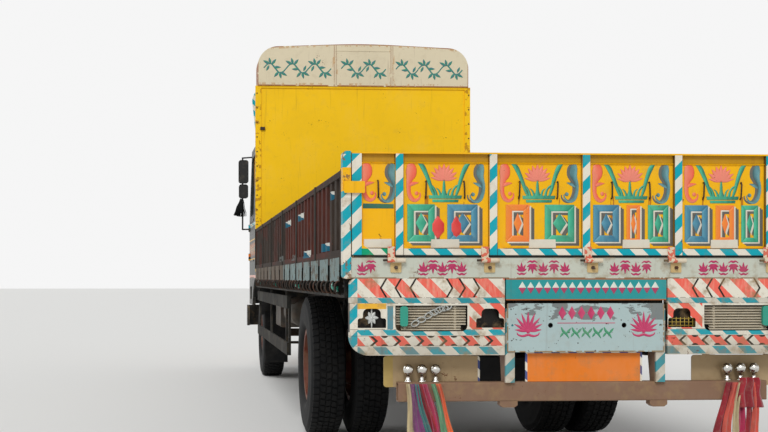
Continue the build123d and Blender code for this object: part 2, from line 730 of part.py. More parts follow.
def lamp_grilles():
    """Louvre slats set in the recesses, sloped to shed water, on two uprights."""
    low = lamp_row_top - arch_height
    half = grille_width / 2 - 6
    pitch = (grille_height - 8) / grille_slats
    grille = Part()
    for i in range(grille_slats):
        z = low + 6 + i * pitch
        inset = 26 if i in (0, 1) else 0
        grille += along_x([(y_tail + 8, z), (y_tail + 12, z), (y_tail + 30, z + pitch - 3), (y_tail + 26, z + pitch - 3)],
                          grille_place - half + inset, grille_place + half - inset)
    for x in (grille_place - half + 40, grille_place + half - 60):
        grille += block(x, x + 12, y_tail + 20, y_tail + 38, low + 6, low + grille_height - 4)
    return both(grille)


def marker_lamps():
    """Green lenses in the louvres, and domes along both sides of the body."""
    low = lamp_row_top - arch_height
    x = grille_place - grille_width / 2 + 44
    lamps = both(along_y(rectangle(x - 20, x + 20, low + 26, low + grille_height - 4), y_tail - 8,
                         y_tail + 8 - cloth_gap, 14))
    dome = revolve(make_face(Wire([Edge.make_line((0, 0), (30, 0)), Edge.make_line((30, 0), (30, 8)),
                                   Edge.make_three_point_arc((30, 8), (21, 24), (0, 30)), Edge.make_line((0, 30), (0, 0))])),
                   axis=Axis.Y)
    for i in (1, 6, 11, 16):
        y = bearer_places[i] + bearer_width / 2 + 50
        post = block(half_body - 40, half_body - 34, y - 34, y + 34, runner_top - 30, runner_top + 40)
        post += block(half_body - 40, half_body - 4, bearer_places[i] + bearer_width / 2, y, runner_top + 10, runner_top + 20)
        right = Pos(half_body - 34, y, runner_top + 5) * Rot(0, 0, -90) * dome
        lamps += both(right + post)
    return lamps


def centre_board():
    """Sign board under the beam between the lamp boards, left bare of words."""
    half = board_inner_x - 7
    return along_y(rectangle(-half, half, beam_bottom - 112, beam_bottom), y_tail + 2, y_tail + 20, [4, 4, 0, 0])


def centre_plate():
    """Perforated white plate on the bumper hangers."""
    half = board_inner_x - 15
    low, high = board_bottom + 22, beam_bottom - 128
    plate = along_y(rectangle(-half, half, low, high), y_tail + 8, y_tail + 14, 8)
    middle = (low + high) / 2 + 12
    for x, radius in ((-186, 13), (200, 13), (-385, 6), (396, 6)):
        plate -= Pos(x, y_tail + 11, middle) * Rot(90, 0, 0) * Cylinder(radius, 20)
    return plate


def rear_plates():
    """Blank orange plate on the bumper and two blank cream plates behind its ends."""
    top = bumper_bottom + bumper_height
    plates = along_y(rectangle(-308, 308, top, top + 145), y_tail + 40, y_tail + 46, [0, 0, 8, 8])
    y0 = y_tail + 14 + bumper_depth + 30
    for x0, x1, z0, z1 in ((-1045, -550, top - 36, top + 124), (560, 1055, top - 36, top + 120)):
        plates += along_y(rectangle(x0, x1, z0, z1), y0, y0 + 6, 16)
        for x in (x0 + 60, x1 - 100):
            plates += block(x, x + 40, y_tail + 30, y0 + 3, board_bottom - 5, board_bottom)
            plates += block(x, x + 40, y0, y0 + 3, z1 - 20, board_bottom)
    return plates


def rear_bumper():
    """Square beam on two striped hangers with a foot under each, braced to the chassis rails."""
    y0 = y_tail + 34
    beam = along_x(rectangle(y0, y0 + bumper_depth, bumper_bottom, bumper_bottom + bumper_height),
                   -bumper_half_width, bumper_half_width, 8)
    inside = 6
    beam -= block(-bumper_half_width - 1, bumper_half_width + 1, y0 + inside, y0 + bumper_depth - inside,
                  bumper_bottom + inside, bumper_bottom + bumper_height - inside)
    for side in (-1, 1):
        x0, x1 = side * (hanger_x - hanger_width / 2), side * (hanger_x + hanger_width / 2)
        beam += along_x([(y_tail + 14, bumper_bottom + bumper_height - 2), (y0 + bumper_depth, bumper_bottom + bumper_height - 2),
                         (y_frame_back, frame_bottom), (y_frame_back, frame_top), (y_tail + 14, frame_top)],
                        min(x0, x1), max(x0, x1))
        foot = [(-46, 1), (46, 1), (46, -20), (30, -32), (-30, -32), (-46, -20)]
        beam += along_y([(side * hanger_x + x, bumper_bottom + z) for x, z in foot], y0 + 4, y0 + bumper_depth - 4)
    return beam


def side_guards():
    """Two rails on uprights between the wheels, hung from the bearers."""
    x0, x1, x2 = half_body - 64, half_body - 46, half_body - 30
    y0, y1 = y_rear_axle + tyre_radius + 145, y_cab_back - 60
    low, high = tyre_radius + 25, frame_bottom + 155
    guard = [block(x1, x2, y0, y1, z, z + guard_height) for z in (low, high)]
    guard.append(block(x0, x1, y0, y0 + 42, low, high + guard_height))
    for i in (bearer_count // 2, bearer_count * 3 // 4, bearer_count - 1):
        guard.append(block(x0, x1, bearer_places[i] - 22, bearer_places[i] + 22, low, runner_top))
    return assembled(guard + [mirror(piece, Plane.YZ) for piece in guard])


def front_mudguards():
    """Arched guards over the steered wheels with a flap behind each."""
    x0, x1 = front_tyre_x - tyre_width / 2 - 12, cab_half_width - 15
    outer, inner = mudguard_radius + mudguard_thickness, mudguard_radius
    ring = Pos((x0 + x1) / 2, y_front_axle, tyre_radius) * Rot(0, 90, 0) * (Cylinder(outer, x1 - x0) - Cylinder(inner, x1 - x0))
    lip = tyre_radius + 235
    ring -= block(x0 - 1, x1 + 1, y_front_axle - 2 * inner, y_front_axle + 2 * inner, -inner, lip)
    ring -= block(x0 - 1, x1 + 1, y_front_axle + 0.75 * inner, y_front_axle + 2 * inner, 0, 3 * inner)
    guard = ring + block(x0 + 40, x0 + 140, y_front_axle - 60, y_front_axle + 60, tyre_radius + inner + 2, cab_floor_z)
    y_flap = y_front_axle - mudguard_radius + 24
    guard += block(x0 + 6, x1 - 60, y_flap - 24, y_flap - 16, lip - 555, lip + 40)
    guard += block(rail_outer, x0 + 60, y_flap - 26, y_flap + 4, lip + 45, lip + 90)
    guard += block(x0, x0 + 60, y_flap - 26, y_flap + 4, lip + 10, lip + 90)
    return both(guard)


# Cab: one lofted shell, divided where its panels meet
def cab_section(z, half_width, y0, y1, corner):
    """A level section of the cab with rounded corners, as a face at height z."""
    face = outline([(-half_width, y0), (half_width, y0), (half_width, y1), (-half_width, y1)], [30, 30, corner, corner])
    return Pos(0, 0, z) * face


def cab_solid(inset):
    """The cab's outer form when inset is 0, or its hollow when inset is a wall."""
    back, front = y_cab_back + inset, y_cab_front - inset
    low = cab_section(cab_skirt - inset, cab_half_width - inset, back, front, cab_corner - inset / 2)
    waist = cab_section(cab_waist, cab_half_width - inset, back, front, cab_corner - inset / 2)
    top = cab_section(cab_top + inset, cab_top_half_width - inset, back, front - cab_rake, cab_corner - inset / 2)
    return loft([low, waist], ruled=True) + loft([waist, top], ruled=True)


def window_cut(y0, y1, z0, z1, radius):
    """A rounded window through both sides of the cab."""
    return along_x(rectangle(y0, y1, z0, z1), -cab_half_width - 50, cab_half_width + 50, radius)


pane_inner, pane_outer = 32, cab_half_width - 140
pane_low, pane_high = window_sill, window_top + 10


def pane_outline(inset):
    """The two windscreen openings, carried right through the front."""
    points = rectangle(pane_inner + inset, pane_outer - inset, pane_low + inset, pane_high - inset)
    return both(along_y(points, y_cab_front - 300, y_cab_front + 100, [20, 60, 60, 20]))


def cab_shell():
    """The walls with the windows cut, open underneath behind the step skirts."""
    shell = cab_solid(0) - cab_solid(cab_wall)
    wide = cab_half_width + 100
    shell -= block(-wide, wide, y_cab_back - 50, y_front_axle, cab_skirt - 50, cab_floor_z)
    shell -= Pos(0, y_front_axle, tyre_radius) * Rot(0, 90, 0) * Cylinder(arch_radius, 2 * wide)
    shell -= pane_outline(0)
    shell -= window_cut(y_door_back + 60, y_door_front - 60, window_sill, window_top, 55)
    shell -= window_cut(y_cab_back + 330, y_door_back - 150, window_sill, window_top - 40, 50)
    return shell


def door_outline(gap):
    """The door's outline through both sides, smaller by the gap all round."""
    return along_x(rectangle(y_door_back + gap, y_door_front - gap, cab_floor_z + 4 + gap, door_top - gap),
                   -cab_half_width - 60, cab_half_width + 60, [26, 26, 60, 60])


shell = cab_shell()
y_front_split = y_door_front + 20
y_back_split = y_cab_back + 50


def zone(y0, y1):
    """The slice of the cab between two cross planes."""
    return block(-2 * cab_half_width, 2 * cab_half_width, y0, y1, 0, cab_top)


front_zone = zone(y_front_split, y_cab_front + 50)
back_zone = zone(y_cab_back - 50, y_back_split)
side_zone = zone(y_back_split, y_front_split)


def cab_front():
    """Front wall with its windscreen pillars and apron, ribbed below the glass."""
    front = shell & front_zone
    reach = cab_half_width - cab_corner - 90
    for z in (cab_waist - 260, cab_waist - 170):
        front += along_x([(y_cab_front - 5, z - 12), (y_cab_front + 8, z - 6), (y_cab_front + 8, z + 6), (y_cab_front - 5, z + 12)],
                         -reach, reach)
    return front


def cab_back():
    return shell & back_zone


def cab_sides():
    """Side frames round the doors, with the quarter window behind and the foot-hole step below."""
    sides = (shell & side_zone) - door_outline(0)
    y0, y1 = y_front_axle + 690, y_front_split - 60
    z_step = cab_skirt + 65
    sides -= along_x(rectangle(y0, y1, z_step, z_step + 165), -2 * cab_half_width, 2 * cab_half_width, 24)
    step = block(cab_half_width - 210, cab_half_width - cab_wall, y0 - 20, y1 + 20, z_step - 22, z_step)
    x_pin = cab_half_width + door_pin_out
    for z in door_hinge_places:
        step += rod((x_pin, y_door_pin, z + 51), (x_pin, y_door_pin, z + 90), 10)
        step += rod((x_pin, y_door_pin, z - 6), (x_pin, y_door_pin, z + 52), 5)
        step += block(cab_half_width - 2, x_pin, y_door_pin, y_door_pin + 17, z + 51, z + 90)
    return sides + both(step)


def door(side):
    """A hung door: the shell inside its outline, a belt rail and two hinge knuckles."""
    half = block(0, side * 1400, y_door_back - 10, y_door_front + 10, cab_floor_z, cab_top)
    leaf = (shell & half) & door_outline(door_gap)
    y0, y1 = y_door_back + door_gap + 30, y_door_front - door_gap - 30
    belt = along_y(rectangle(cab_half_width - 2, cab_half_width + 7, cab_waist - 45, cab_waist - 15), y0, y1, [0, 4, 4, 0])
    rail = along_y(rectangle(cab_half_width - 2, cab_half_width + 7, cab_waist - 550, cab_waist - 530), y0, y1, [0, 4, 4, 0])
    handle = block(cab_half_width - 2, cab_half_width + 34, y0 + 30, y0 + 50, cab_waist - 105, cab_waist - 85)
    handle += block(cab_half_width - 2, cab_half_width + 34, y0 + 150, y0 + 170, cab_waist - 105, cab_waist - 85)
    handle += block(cab_half_width + 22, cab_half_width + 34, y0 + 30, y0 + 170, cab_waist - 105, cab_waist - 85)
    trim = belt + rail + handle
    x_pin = cab_half_width + door_pin_out
    for z in door_hinge_places:
        eye = rod((x_pin, y_door_pin, z), (x_pin, y_door_pin, z + 50), 10)
        eye += block(cab_half_width - 2, x_pin, y_door_pin - 30, y_door_pin - 4, z, z + 50)
        trim += eye - rod((x_pin, y_door_pin, z - 1), (x_pin, y_door_pin, z + 51), 5 + shaft_clearance)
    leaf += trim if side > 0 else mirror(trim, Plane.YZ)
    return leaf


door_pin_out = 13
y_door_pin = y_door_front - 2
door_hinge_places = (cab_waist - 530, cab_waist - 150)


def cab_floor():
    """Floor plate with the engine hump raised out of it, on four mounting blocks."""
    inside = cab_half_width - cab_wall
    y0, y1 = y_cab_back + cab_wall, y_cab_front - cab_wall
    floor = along_z([(-inside, y0), (inside, y0), (inside, y1), (-inside, y1)], cab_floor_z,
                    cab_floor_z + cab_floor_thickness, [30, 30, cab_corner - cab_wall / 2, cab_corner - cab_wall / 2])
    hump_back, hump_front, hump_top = y_engine_back - 50, y_engine_front + 90, cab_floor_z + 400
    hump = along_x([(hump_back, cab_floor_z), (hump_front, cab_floor_z), (hump_front - 60, hump_top), (hump_back + 20, hump_top)],
                   -335, 335, [0, 0, 40, 40])
    well = along_x([(hump_back + 25, cab_floor_z - 1), (hump_front - 30, cab_floor_z - 1), (hump_front - 85, hump_top - 25),
                    (hump_back + 45, hump_top - 25)], -310, 310)
    floor = floor + hump - well
    for y in (y_cab_back + 160, y_cab_front - 350):
        floor += both(block(rail_inner, rail_outer, y - 50, y + 50, frame_top, cab_floor_z + 2))
    return floor


def cab_roof():
    """Domed roof pan on the wall tops, with a drip rail and luggage rails."""
    y1 = y_cab_front - cab_rake
    low = cab_section(cab_top, cab_top_half_width, y_cab_back, y1, cab_corner)
    high = cab_section(cab_top + roof_height, cab_top_half_width - 110, y_cab_back + 60, y1 - 130, cab_corner)
    roof = loft([low, high], ruled=True)
    wall = cab_wall
    low_in = cab_section(cab_top, cab_top_half_width - wall, y_cab_back + wall, y1 - wall, cab_corner - 20)
    high_in = cab_section(cab_top + roof_height - wall, cab_top_half_width - 110 - wall / 2, y_cab_back + 60 + wall,
                          y1 - 130 - wall, cab_corner - 20)
    return roof - loft([low_in, high_in], ruled=True)


def roof_rack():
    """Luggage rails from the crown board back to the headboard, on short posts."""
    z0 = cab_top + roof_height
    y0, y1 = y_body_front, y_crown
    x = cab_top_half_width - 190
    rack = Part()
    for z in (z0 + 90, z0 + 220):
        rack += block(x, x + 28, y0, y1, z, z + 28)
    for i in range(4):
        y = y_cab_back + 260 + i * (y1 - y_cab_back - 460) / 3
        rack += block(x, x + 28, y - 14, y + 14, z0, z0 + 248)
    return both(rack)


crown_thickness = 70
y_crown = y_cab_front - cab_rake - 190


def crown_board():
    """Flared crown over the windscreen with a peaked visor below it."""
    base, low, high = cab_top + roof_height, cab_top_half_width - 55, cab_top_half_width + 15
    crown = along_y([(-low, base), (low, base), (high, crown_top - 40), (0, crown_top), (-high, crown_top - 40)],
                    y_crown, y_crown + crown_thickness, [0, 0, 170, 9000, 170])
    y_face = y_crown + crown_thickness
    y_wall = y_cab_front - cab_rake
    visor = along_x([(y_face - 2, base + 6), (y_face - 2, base + 150), (y_wall + 190, cab_top + 30), (y_wall + 180, cab_top + 12),
                     (y_wall + 2, cab_top + 6), (y_wall - 30, cab_top + 60), (y_wall - 118, base + 6)], -low + 30, low - 30)
    roof_form = loft([cab_section(cab_top, cab_top_half_width, y_cab_back, y_wall, cab_corner),
                      cab_section(cab_top + roof_height, cab_top_half_width - 110, y_cab_back + 60, y_wall - 130, cab_corner)],
                     ruled=True)
    return (crown + visor) - roof_form


def windscreen():
    """Two flat panes lying in the raked openings."""
    depth, glass = 22, 6
    y0, y1 = y_cab_front - depth, y_cab_front - depth - cab_rake
    sheet = along_x([(y0, cab_waist), (y1, cab_top), (y1 - glass, cab_top), (y0 - glass, cab_waist)], -1150, 1150)
    return sheet & pane_outline(0.4)


def front_grille():
    """Framed grille of bowed slats below the windscreen."""
    low, high, half = cab_waist - 770, cab_waist - 350, cab_half_width - 580
    y0 = y_cab_front
    frame = along_y(rectangle(-half, half, low, high), y0, y0 + 34, 40)
    frame -= along_y(rectangle(-half + 34, half - 34, low + 34, high - 34), y0 + 8, y0 + 40, 20)
    count = 7
    pitch = (high - low - 68) / count
    for i in range(count):
        z = low + 34 + (i + 0.5) * pitch
        frame += along_x([(y0 + 6, z - 8), (y0 + 30, z - 12), (y0 + 34, z - 4), (y0 + 8, z + 10)], -half + 30, half - 30)
    return frame


def front_lamps():
    """Round headlamps in chromed rings with square turn lamps outboard."""
    ring = turned([(0, 0), (0, 112), (26, 112), (40, 98), (40, 88), (30, 84), (44, 40), (48, 0)], [0, 0, 8, 8, 0, 0, 0, 0])
    ring = Rot(0, 0, 90) * ring
    x, z = cab_half_width - 380, cab_skirt + 160
    lamps = Pos(x, y_cab_front, z) * ring
    lamps += along_y(rectangle(x + 128, x + 236, z - 60, z + 60), y_cab_front, y_cab_front + 26, 14)
    return both(lamps)


def front_bumper():
    """Deep channel bumper, its ends wrapped round the corners, on two brackets."""
    half, y1, wall = half_body - 20, y_nose, 30
    wrap = 260
    low, high = cab_skirt - 290, cab_skirt - 20
    outer = [(-half, y1 - wrap), (-half, y1), (half, y1), (half, y1 - wrap)]
    inner = [(half - wall, y1 - wrap), (half - wall, y1 - wall), (-half + wall, y1 - wall), (-half + wall, y1 - wrap)]
    bumper = along_z(outer + inner, low, high, [0, 140, 140, 0, 0, 110, 110, 0])
    bumper += both(block(rail_inner, rail_outer, y_frame_front, y1 - wall + 2, frame_bottom - 60, high))
    return bumper


def dashboard():
    """Sloped fascia across the cab with an instrument hood on the right."""
    back = y_cab_front - cab_wall
    half = cab_half_width - cab_wall / 2 - cab_corner
    z = cab_waist
    panel = along_x([(back, z - 450), (back - 230, z - 390), (back - 270, z - 170), (back - 150, z - 50), (back, z - 30)],
                    -half, half, [0, 30, 40, 40, 0])
    hood = along_x([(back - 120, z - 60), (back - 285, z - 160), (back - 290, z - 50), (back - 150, z + 30)],
                   driver_x - 210, driver_x + 210)
    return panel + hood


def steering_wheel():
    """Large wheel on a raked column rising from the floor."""
    floor = cab_floor_z + cab_floor_thickness
    hub = Vector(driver_x, y_cab_front - 520, cab_waist - 50)
    foot = Vector(driver_x, y_cab_front - 330, floor)
    axis = (hub - foot).normalized()
    plane = Plane(origin=hub, z_dir=axis)
    wheel = plane * Torus(235, 15)
    for angle in (90, 210, 330):
        wheel += plane * (Rot(0, 0, angle) * (Pos(118, 0, -4) * Box(236, 30, 10)))
    wheel += rod(hub - axis * 30, hub + axis * 14, 46)
    column = rod(foot, hub - axis * 20, 30)
    column &= block(driver_x - 100, driver_x + 100, hub.Y - 100, foot.Y + 100, floor, hub.Z)
    return wheel + (column - dashboard())


def seats():
    """Driver's seat, mate's seat and the bench across the back, as plain cushion forms."""
    floor = cab_floor_z + cab_floor_thickness
    y0 = y_front_axle - 130
    profile = [(y0, floor), (y0 + 480, floor), (y0 + 520, floor + 430), (y0 + 110, floor + 440), (y0 + 40, floor + 1060),
               (y0 - 70, floor + 1060)]
    radii = [0, 0, 50, 40, 50, 50]
    reach = cab_half_width - 120
    pieces = along_x(profile, driver_x - 230, driver_x + 290, radii) + along_x(profile, -reach, 230 - driver_x, radii)
    back = y_cab_back + cab_wall
    pieces += along_x(rectangle(back, back + 400, floor, floor + 470), -reach, reach, [0, 0, 50, 20])
    return pieces


def mirrors():
    """Tube bracket at each front corner carrying a tall mirror over a short one."""
    x, y = cab_half_width + 90, y_cab_front - 70
    low, high = cab_waist - 120, cab_top - 50
    foot_x, foot_y = cab_half_width - 40, y_cab_front - 110
    bracket = rod((x, y, low), (x, y, high), 11)
    top_x = cab_top_half_width - 20
    bracket += rod((x, y, high - 8), (top_x, y_cab_front - cab_rake - 55, high - 8), 10)
    bracket += rod((x, y, low + 8), (foot_x, foot_y, low + 8), 10)
    bracket -= cab_solid(0)
    for z0, z1, width in ((cab_top - 400, cab_top - 90, 66), (mirror_bottom, mirror_bottom + 186, 62)):
        head = along_y(rectangle(x - 10 - width, x - 10 + width, z0, z1), y - 62, y - 12, 34)
        head -= along_y(rectangle(x - width, x - 20 + width, z0 + 10, z1 - 10), y - 63, y - 56, 26)
        bracket += head
        bracket += block(x - 20, x + 6, y - 13, y, (z0 + z1) / 2 - 25, (z0 + z1) / 2 + 25)
    return both(bracket)


def mirror_tassels():
    """Bundles of black thread hung under the mirrors, as plain tapered forms."""
    x, y = cab_half_width + 80, y_cab_front - 70
    top, low = mirror_bottom - cloth_gap, mirror_bottom - 260
    bundle = along_y([(x, top), (x + 50, top), (x + 110, top - 90), (x + 168, low + 20), (x + 100, low), (x - 40, low + 20),
                      (x - 10, top - 90)], y - 58, y - 16, [8, 8, 60, 20, 60, 20, 60])
    return both(bundle)


def bumper_balls():
    """Three polished balls on a bar at each end of the rear bumper."""
    top = bumper_bottom + bumper_height
    y = y_tail + 34 + bumper_depth / 2
    balls = Part()
    for i in range(3):
        x = bumper_half_width - 50 - i * 70
        balls += Pos(x, y, top + 40) * Sphere(27)
        balls += rod((x, y, top), (x, y, top + 30), 9)
    return both(balls)


def streamers():
    """Bunches of cloth strips hung over the bumper ends, as plain tapered forms."""
    y_face = y_tail + 34
    top = bumper_bottom + bumper_height
    section = [(bumper_half_width - 190, top - 6), (bumper_half_width - 50, top - 6), (bumper_half_width - 40, top - 200),
               (bumper_half_width - 90, top - 430), (bumper_half_width - 250, top - 430), (bumper_half_width - 230, top - 200)]
    bunch = along_y(section, y_face - 42, y_face - cloth_gap, [10, 10, 60, 20, 20, 60])
    return both(bunch)


nodes = {
    "chassis_frame": chassis_frame(),
    "front_axle_beam": front_axle_beam(),
    "rear_axle_housing": rear_axle_housing(),
    "leaf_springs": leaf_springs(),
    "propeller_shaft": propeller_shaft(),
    "engine_block": engine_block(),
    "fuel_tank": fuel_tank(),
    "chassis_boxes": chassis_boxes(),
    "exhaust": exhaust(),
    "spare_wheel": spare_wheel(),
    "underframe": underframe(),
    "deck_floor": deck_floor(),
    "side_wall_left": side_wall(-1),
    "side_wall_right": side_wall(1),
    "headboard": headboard(),
    "header_box": header_box(),
    "rear_frame": rear_frame(),
    "tailgate": tailgate(),
    "lamp_boards": lamp_boards(),
    "lamp_grilles": lamp_grilles(),
    "marker_lamps": marker_lamps(),
    "centre_board": centre_board(),
    "centre_plate": centre_plate(),
    "rear_plates": rear_plates(),
    "rear_bumper": rear_bumper(),
    "bumper_balls": bumper_balls(),
    "streamers": streamers(),
    "side_guards": side_guards(),
    "front_mudguards": front_mudguards(),
    "cab_floor": cab_floor(),
    "cab_front": cab_front(),
    "cab_back": cab_back(),
    "cab_sides": cab_sides(),
    "cab_roof": cab_roof(),
    "roof_rack": roof_rack(),
    "crown_board": crown_board(),
    "windscreen": windscreen(),
    "front_grille": front_grille(),
    "front_lamps": front_lamps(),
    "front_bumper": front_bumper(),
    "dashboard": dashboard(),
    "steering_wheel": steering_wheel(),
    "seats": seats(),
    "mirrors": mirrors(),
    "mirror_tassels": mirror_tassels(),
    "tie_rod": tie_rod(),
}
for side, name in ((-1, "left"), (1, "right")):
    nodes["door_" + name] = door(side)
    nodes["knuckle_" + name] = knuckle(side)
    nodes["front_rim_" + name] = at_wheel(front_rim(), front_tyre_x, y_front_axle, side)
    nodes["front_tyre_" + name] = at_wheel(tyre(), front_tyre_x, y_front_axle, side)
    nodes["rear_rims_" + name] = at_wheel(rear_rims(), rear_outer_x, y_rear_axle, side)
    twin = tyre() + Pos(-dual_spacing, 0, 0) * tyre()
    nodes["rear_tyres_" + name] = at_wheel(twin, rear_outer_x, y_rear_axle, side)

os.makedirs("parts", exist_ok=True)
for name, shape in nodes.items():
    export_step(shape, "parts/" + name + ".step")
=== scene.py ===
# %% [markdown]
# A hand-painted haulage truck, seen from behind and a little to its left. The steel work comes from a packed
# CAD frame, in metres: +Y is the front, +X the right side, +Z up. This file gives every node of that frame
# its paint, and builds the painted ornaments, cloth, tread and small fastenings around it.

# %% Load the frame and note its box
import math
import random
import bmesh
import bpy
from mathutils import Matrix, Vector


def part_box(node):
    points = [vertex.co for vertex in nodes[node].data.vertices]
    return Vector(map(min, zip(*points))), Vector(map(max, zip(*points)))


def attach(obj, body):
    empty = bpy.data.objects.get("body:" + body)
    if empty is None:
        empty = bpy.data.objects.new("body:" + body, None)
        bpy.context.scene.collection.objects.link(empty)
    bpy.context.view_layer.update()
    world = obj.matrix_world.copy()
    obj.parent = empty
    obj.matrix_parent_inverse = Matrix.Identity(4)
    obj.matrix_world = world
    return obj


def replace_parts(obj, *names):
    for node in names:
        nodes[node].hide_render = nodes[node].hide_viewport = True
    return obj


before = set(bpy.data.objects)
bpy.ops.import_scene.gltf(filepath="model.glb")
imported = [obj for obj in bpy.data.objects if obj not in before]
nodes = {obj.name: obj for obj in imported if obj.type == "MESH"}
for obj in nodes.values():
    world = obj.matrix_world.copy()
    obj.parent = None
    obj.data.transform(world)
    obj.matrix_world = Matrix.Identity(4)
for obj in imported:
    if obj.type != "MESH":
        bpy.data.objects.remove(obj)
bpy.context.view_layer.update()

# %% [markdown]
# Every ornament is placed from the solids that carry it, so the few lines that fix the tail are read from the
# frame first: the rear face, the deck's height, and the edges of the lamp boards. Sizes that a solid's box
# can't give, such as the spacing of the tail's posts, are named beside them.

# %% Places read from the frame
deck_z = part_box("deck_floor")[1].z
board_low, board_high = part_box("lamp_boards")
plate_low, plate_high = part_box("centre_plate")
sign_low, sign_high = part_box("centre_board")
header_low, header_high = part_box("header_box")
headboard_low, headboard_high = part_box("headboard")
wall_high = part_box("side_wall_right")[1]
bumper_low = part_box("rear_bumper")[0]
rear_face = board_low.y
tail_bottom = deck_z + 0.006
tail_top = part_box("tailgate")[1].z
tail_recess = rear_face + 0.020
seating = 0.0003  # painted forms stand this far off the steel that carries them
tail_back = tail_recess + seating
hinge_y, hinge_z = rear_face - 0.018, deck_z - 0.018
post_pitch = 0.485
panel_centres = [post_pitch * (i + 0.5) for i in (-2, -1, 0, 1)]
post_half = 0.019
half_tail = 1.214
tail_frame = 0.050
tail_band = 0.036
beam_bottom = board_high.z
axle_z = 0.525
front_axle_y, rear_axle_y = (sum(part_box(name), Vector((0, 0, 0))).y / 2
                             for name in ("front_rim_left", "rear_rims_left"))
bumper_top = bumper_low.z + 0.132
print("rear face", round(rear_face, 3), "deck", round(deck_z, 3), "tail top", round(tail_top, 3))

# %% [markdown]
# The camera stands behind the truck and to its left, level, about 1.2 m over the ground. A level
# camera with a shifted lens keeps the posts upright, as they are in the photograph. Its place, turn and lens
# were found by least squares from the corners of the tail's panels, the headboard and the header.

# %% Camera
photo_width, photo_height = 768, 432
sensor_width = 36.0
focal_pixels = 1132.0
principal_x, horizon_y = 252.3, 278.2
camera_place = (-2.0605, -10.473, 1.186)
camera_turn_degrees = 3.41

camera_data = bpy.data.cameras.new("camera")
camera_data.sensor_width = sensor_width
camera_data.lens = focal_pixels / photo_width * sensor_width
camera_data.shift_x = (photo_width / 2 - principal_x) / photo_width
camera_data.shift_y = (horizon_y - photo_height / 2) / photo_width
camera_data.clip_end = 500
camera = bpy.data.objects.new("camera", camera_data)
camera.location = camera_place
camera.rotation_euler = (math.radians(90), 0, math.radians(-camera_turn_degrees))
bpy.context.scene.collection.objects.link(camera)
bpy.context.scene.camera = camera
bpy.context.scene.view_settings.view_transform = "Standard"
print("lens", round(camera_data.lens, 1), "mm")

# %% [markdown]
# Node trees are wordy when every link is written out. Two small classes keep them short. Value wraps a number
# socket, so that Python's own operators add Math nodes, and Tree has one method that adds any node: its type,
# its settings, then a value or a link for each socket.

# %% Wrapped sockets and trees
class Value:
    """A number socket; arithmetic and comparisons on it add Math nodes to its tree."""

    def __init__(self, tree, socket):
        self.tree, self.socket = tree, socket

    def __add__(self, other):
        return self.tree.math("ADD", self, other)

    def __sub__(self, other):
        return self.tree.math("SUBTRACT", self, other)

    def __rsub__(self, other):
        return self.tree.math("SUBTRACT", other, self)

    def __mul__(self, other):
        return self.tree.math("MULTIPLY", self, other)

    def __truediv__(self, other):
        return self.tree.math("DIVIDE", self, other)

    def __abs__(self):
        return self.tree.math("ABSOLUTE", self)

    def __gt__(self, other):
        return self.tree.math("GREATER_THAN", self, other)

    def __lt__(self, other):
        return self.tree.math("LESS_THAN", self, other)

    def __and__(self, other):
        return self.tree.math("MINIMUM", self, other)

    def __or__(self, other):
        return self.tree.math("MAXIMUM", self, other)

    __radd__, __rmul__ = __add__, __mul__

    def fraction(self):
        return self.tree.math("FRACT", self)

    def sine(self):
        return self.tree.math("SINE", self)

    def limited(self):
        return self.tree.math("ADD", self, 0, use_clamp=True)


class Tree:
    """A node tree with one way to add a node."""

    def __init__(self, tree):
        self.tree = tree

    def node(self, kind, settings=None, values=None):
        made = self.tree.nodes.new(kind)
        for key, value in (settings or {}).items():
            setattr(made, key, value)
        for key, value in (values or {}).items():
            if isinstance(value, Value):
                value = value.socket
            if isinstance(value, bpy.types.NodeSocket):
                self.tree.links.new(value, made.inputs[key])
            else:
                made.inputs[key].default_value = value
        return made

    def math(self, operation, first, second=0, **settings):
        made = self.node("ShaderNodeMath", {"operation": operation, **settings}, {0: first, 1: second})
        return Value(self, made.outputs[0])


def colour(red, green, blue):
    """A colour from its 0 to 255 values as seen on a screen, as the linear values that Blender uses."""
    def linear(value):
        value /= 255
        return value / 12.92 if value <= 0.04045 else ((value + 0.055) / 1.055) ** 2.4
    return (linear(red), linear(green), linear(blue), 1.0)


print("a mid grey is", round(colour(128, 128, 128)[0], 3), "in linear values")

# %% [markdown]
# The paint box. These are the colours of the real finishes: enamel from small tins, mixed by the sign painter
# and faded by sun, with dust and with the rust that runs from every fastening. SOOT_AND_SHADE darkens faded
# patches, and is also laid as painted shade in the gap under the tailgate.

# %% Paint box
YELLOW = colour(246, 184, 14)
TEAL = colour(0, 164, 180)
CREAM = colour(230, 224, 208)
SALMON = colour(240, 104, 88)
PINK = colour(236, 140, 112)
ORANGE = colour(238, 138, 44)
LEAF_GREEN = colour(72, 184, 146)
BLUE_GREY = colour(88, 140, 152)
BLOCK_BLUE = colour(84, 150, 172)
BORDER_BLUE = colour(70, 84, 140)
SHADE_GREY = colour(98, 96, 88)
DARK_GREEN = colour(22, 92, 84)
MAGENTA = colour(184, 36, 92)
SIGN_ORANGE = colour(230, 124, 34)
PLATE_CREAM = colour(180, 156, 120)
WALL_RED = colour(80, 30, 19)
LENS_GREEN = colour(0, 148, 124)
BLOCK_RED = colour(226, 72, 66)
CHALK = colour(232, 228, 216)
BLACK = colour(18, 18, 18)
SOOT_AND_SHADE = colour(40, 34, 28)
RUST = colour(98, 52, 28)
RUST_RUN = colour(150, 84, 38)
DUST = colour(150, 134, 112)
SMUDGE = colour(150, 124, 88)
print("paint box ready")

# %% [markdown]
# Paint is the material builder. It reads object coordinates, so a pattern keeps its place on a moving panel.
# It starts from a base colour, and every lay puts a further colour over it by a mask: noise at a chosen
# scale, slanted stripes, or boxes bounded by x and z.

# %% The material builder
stripe_pitch = 0.136


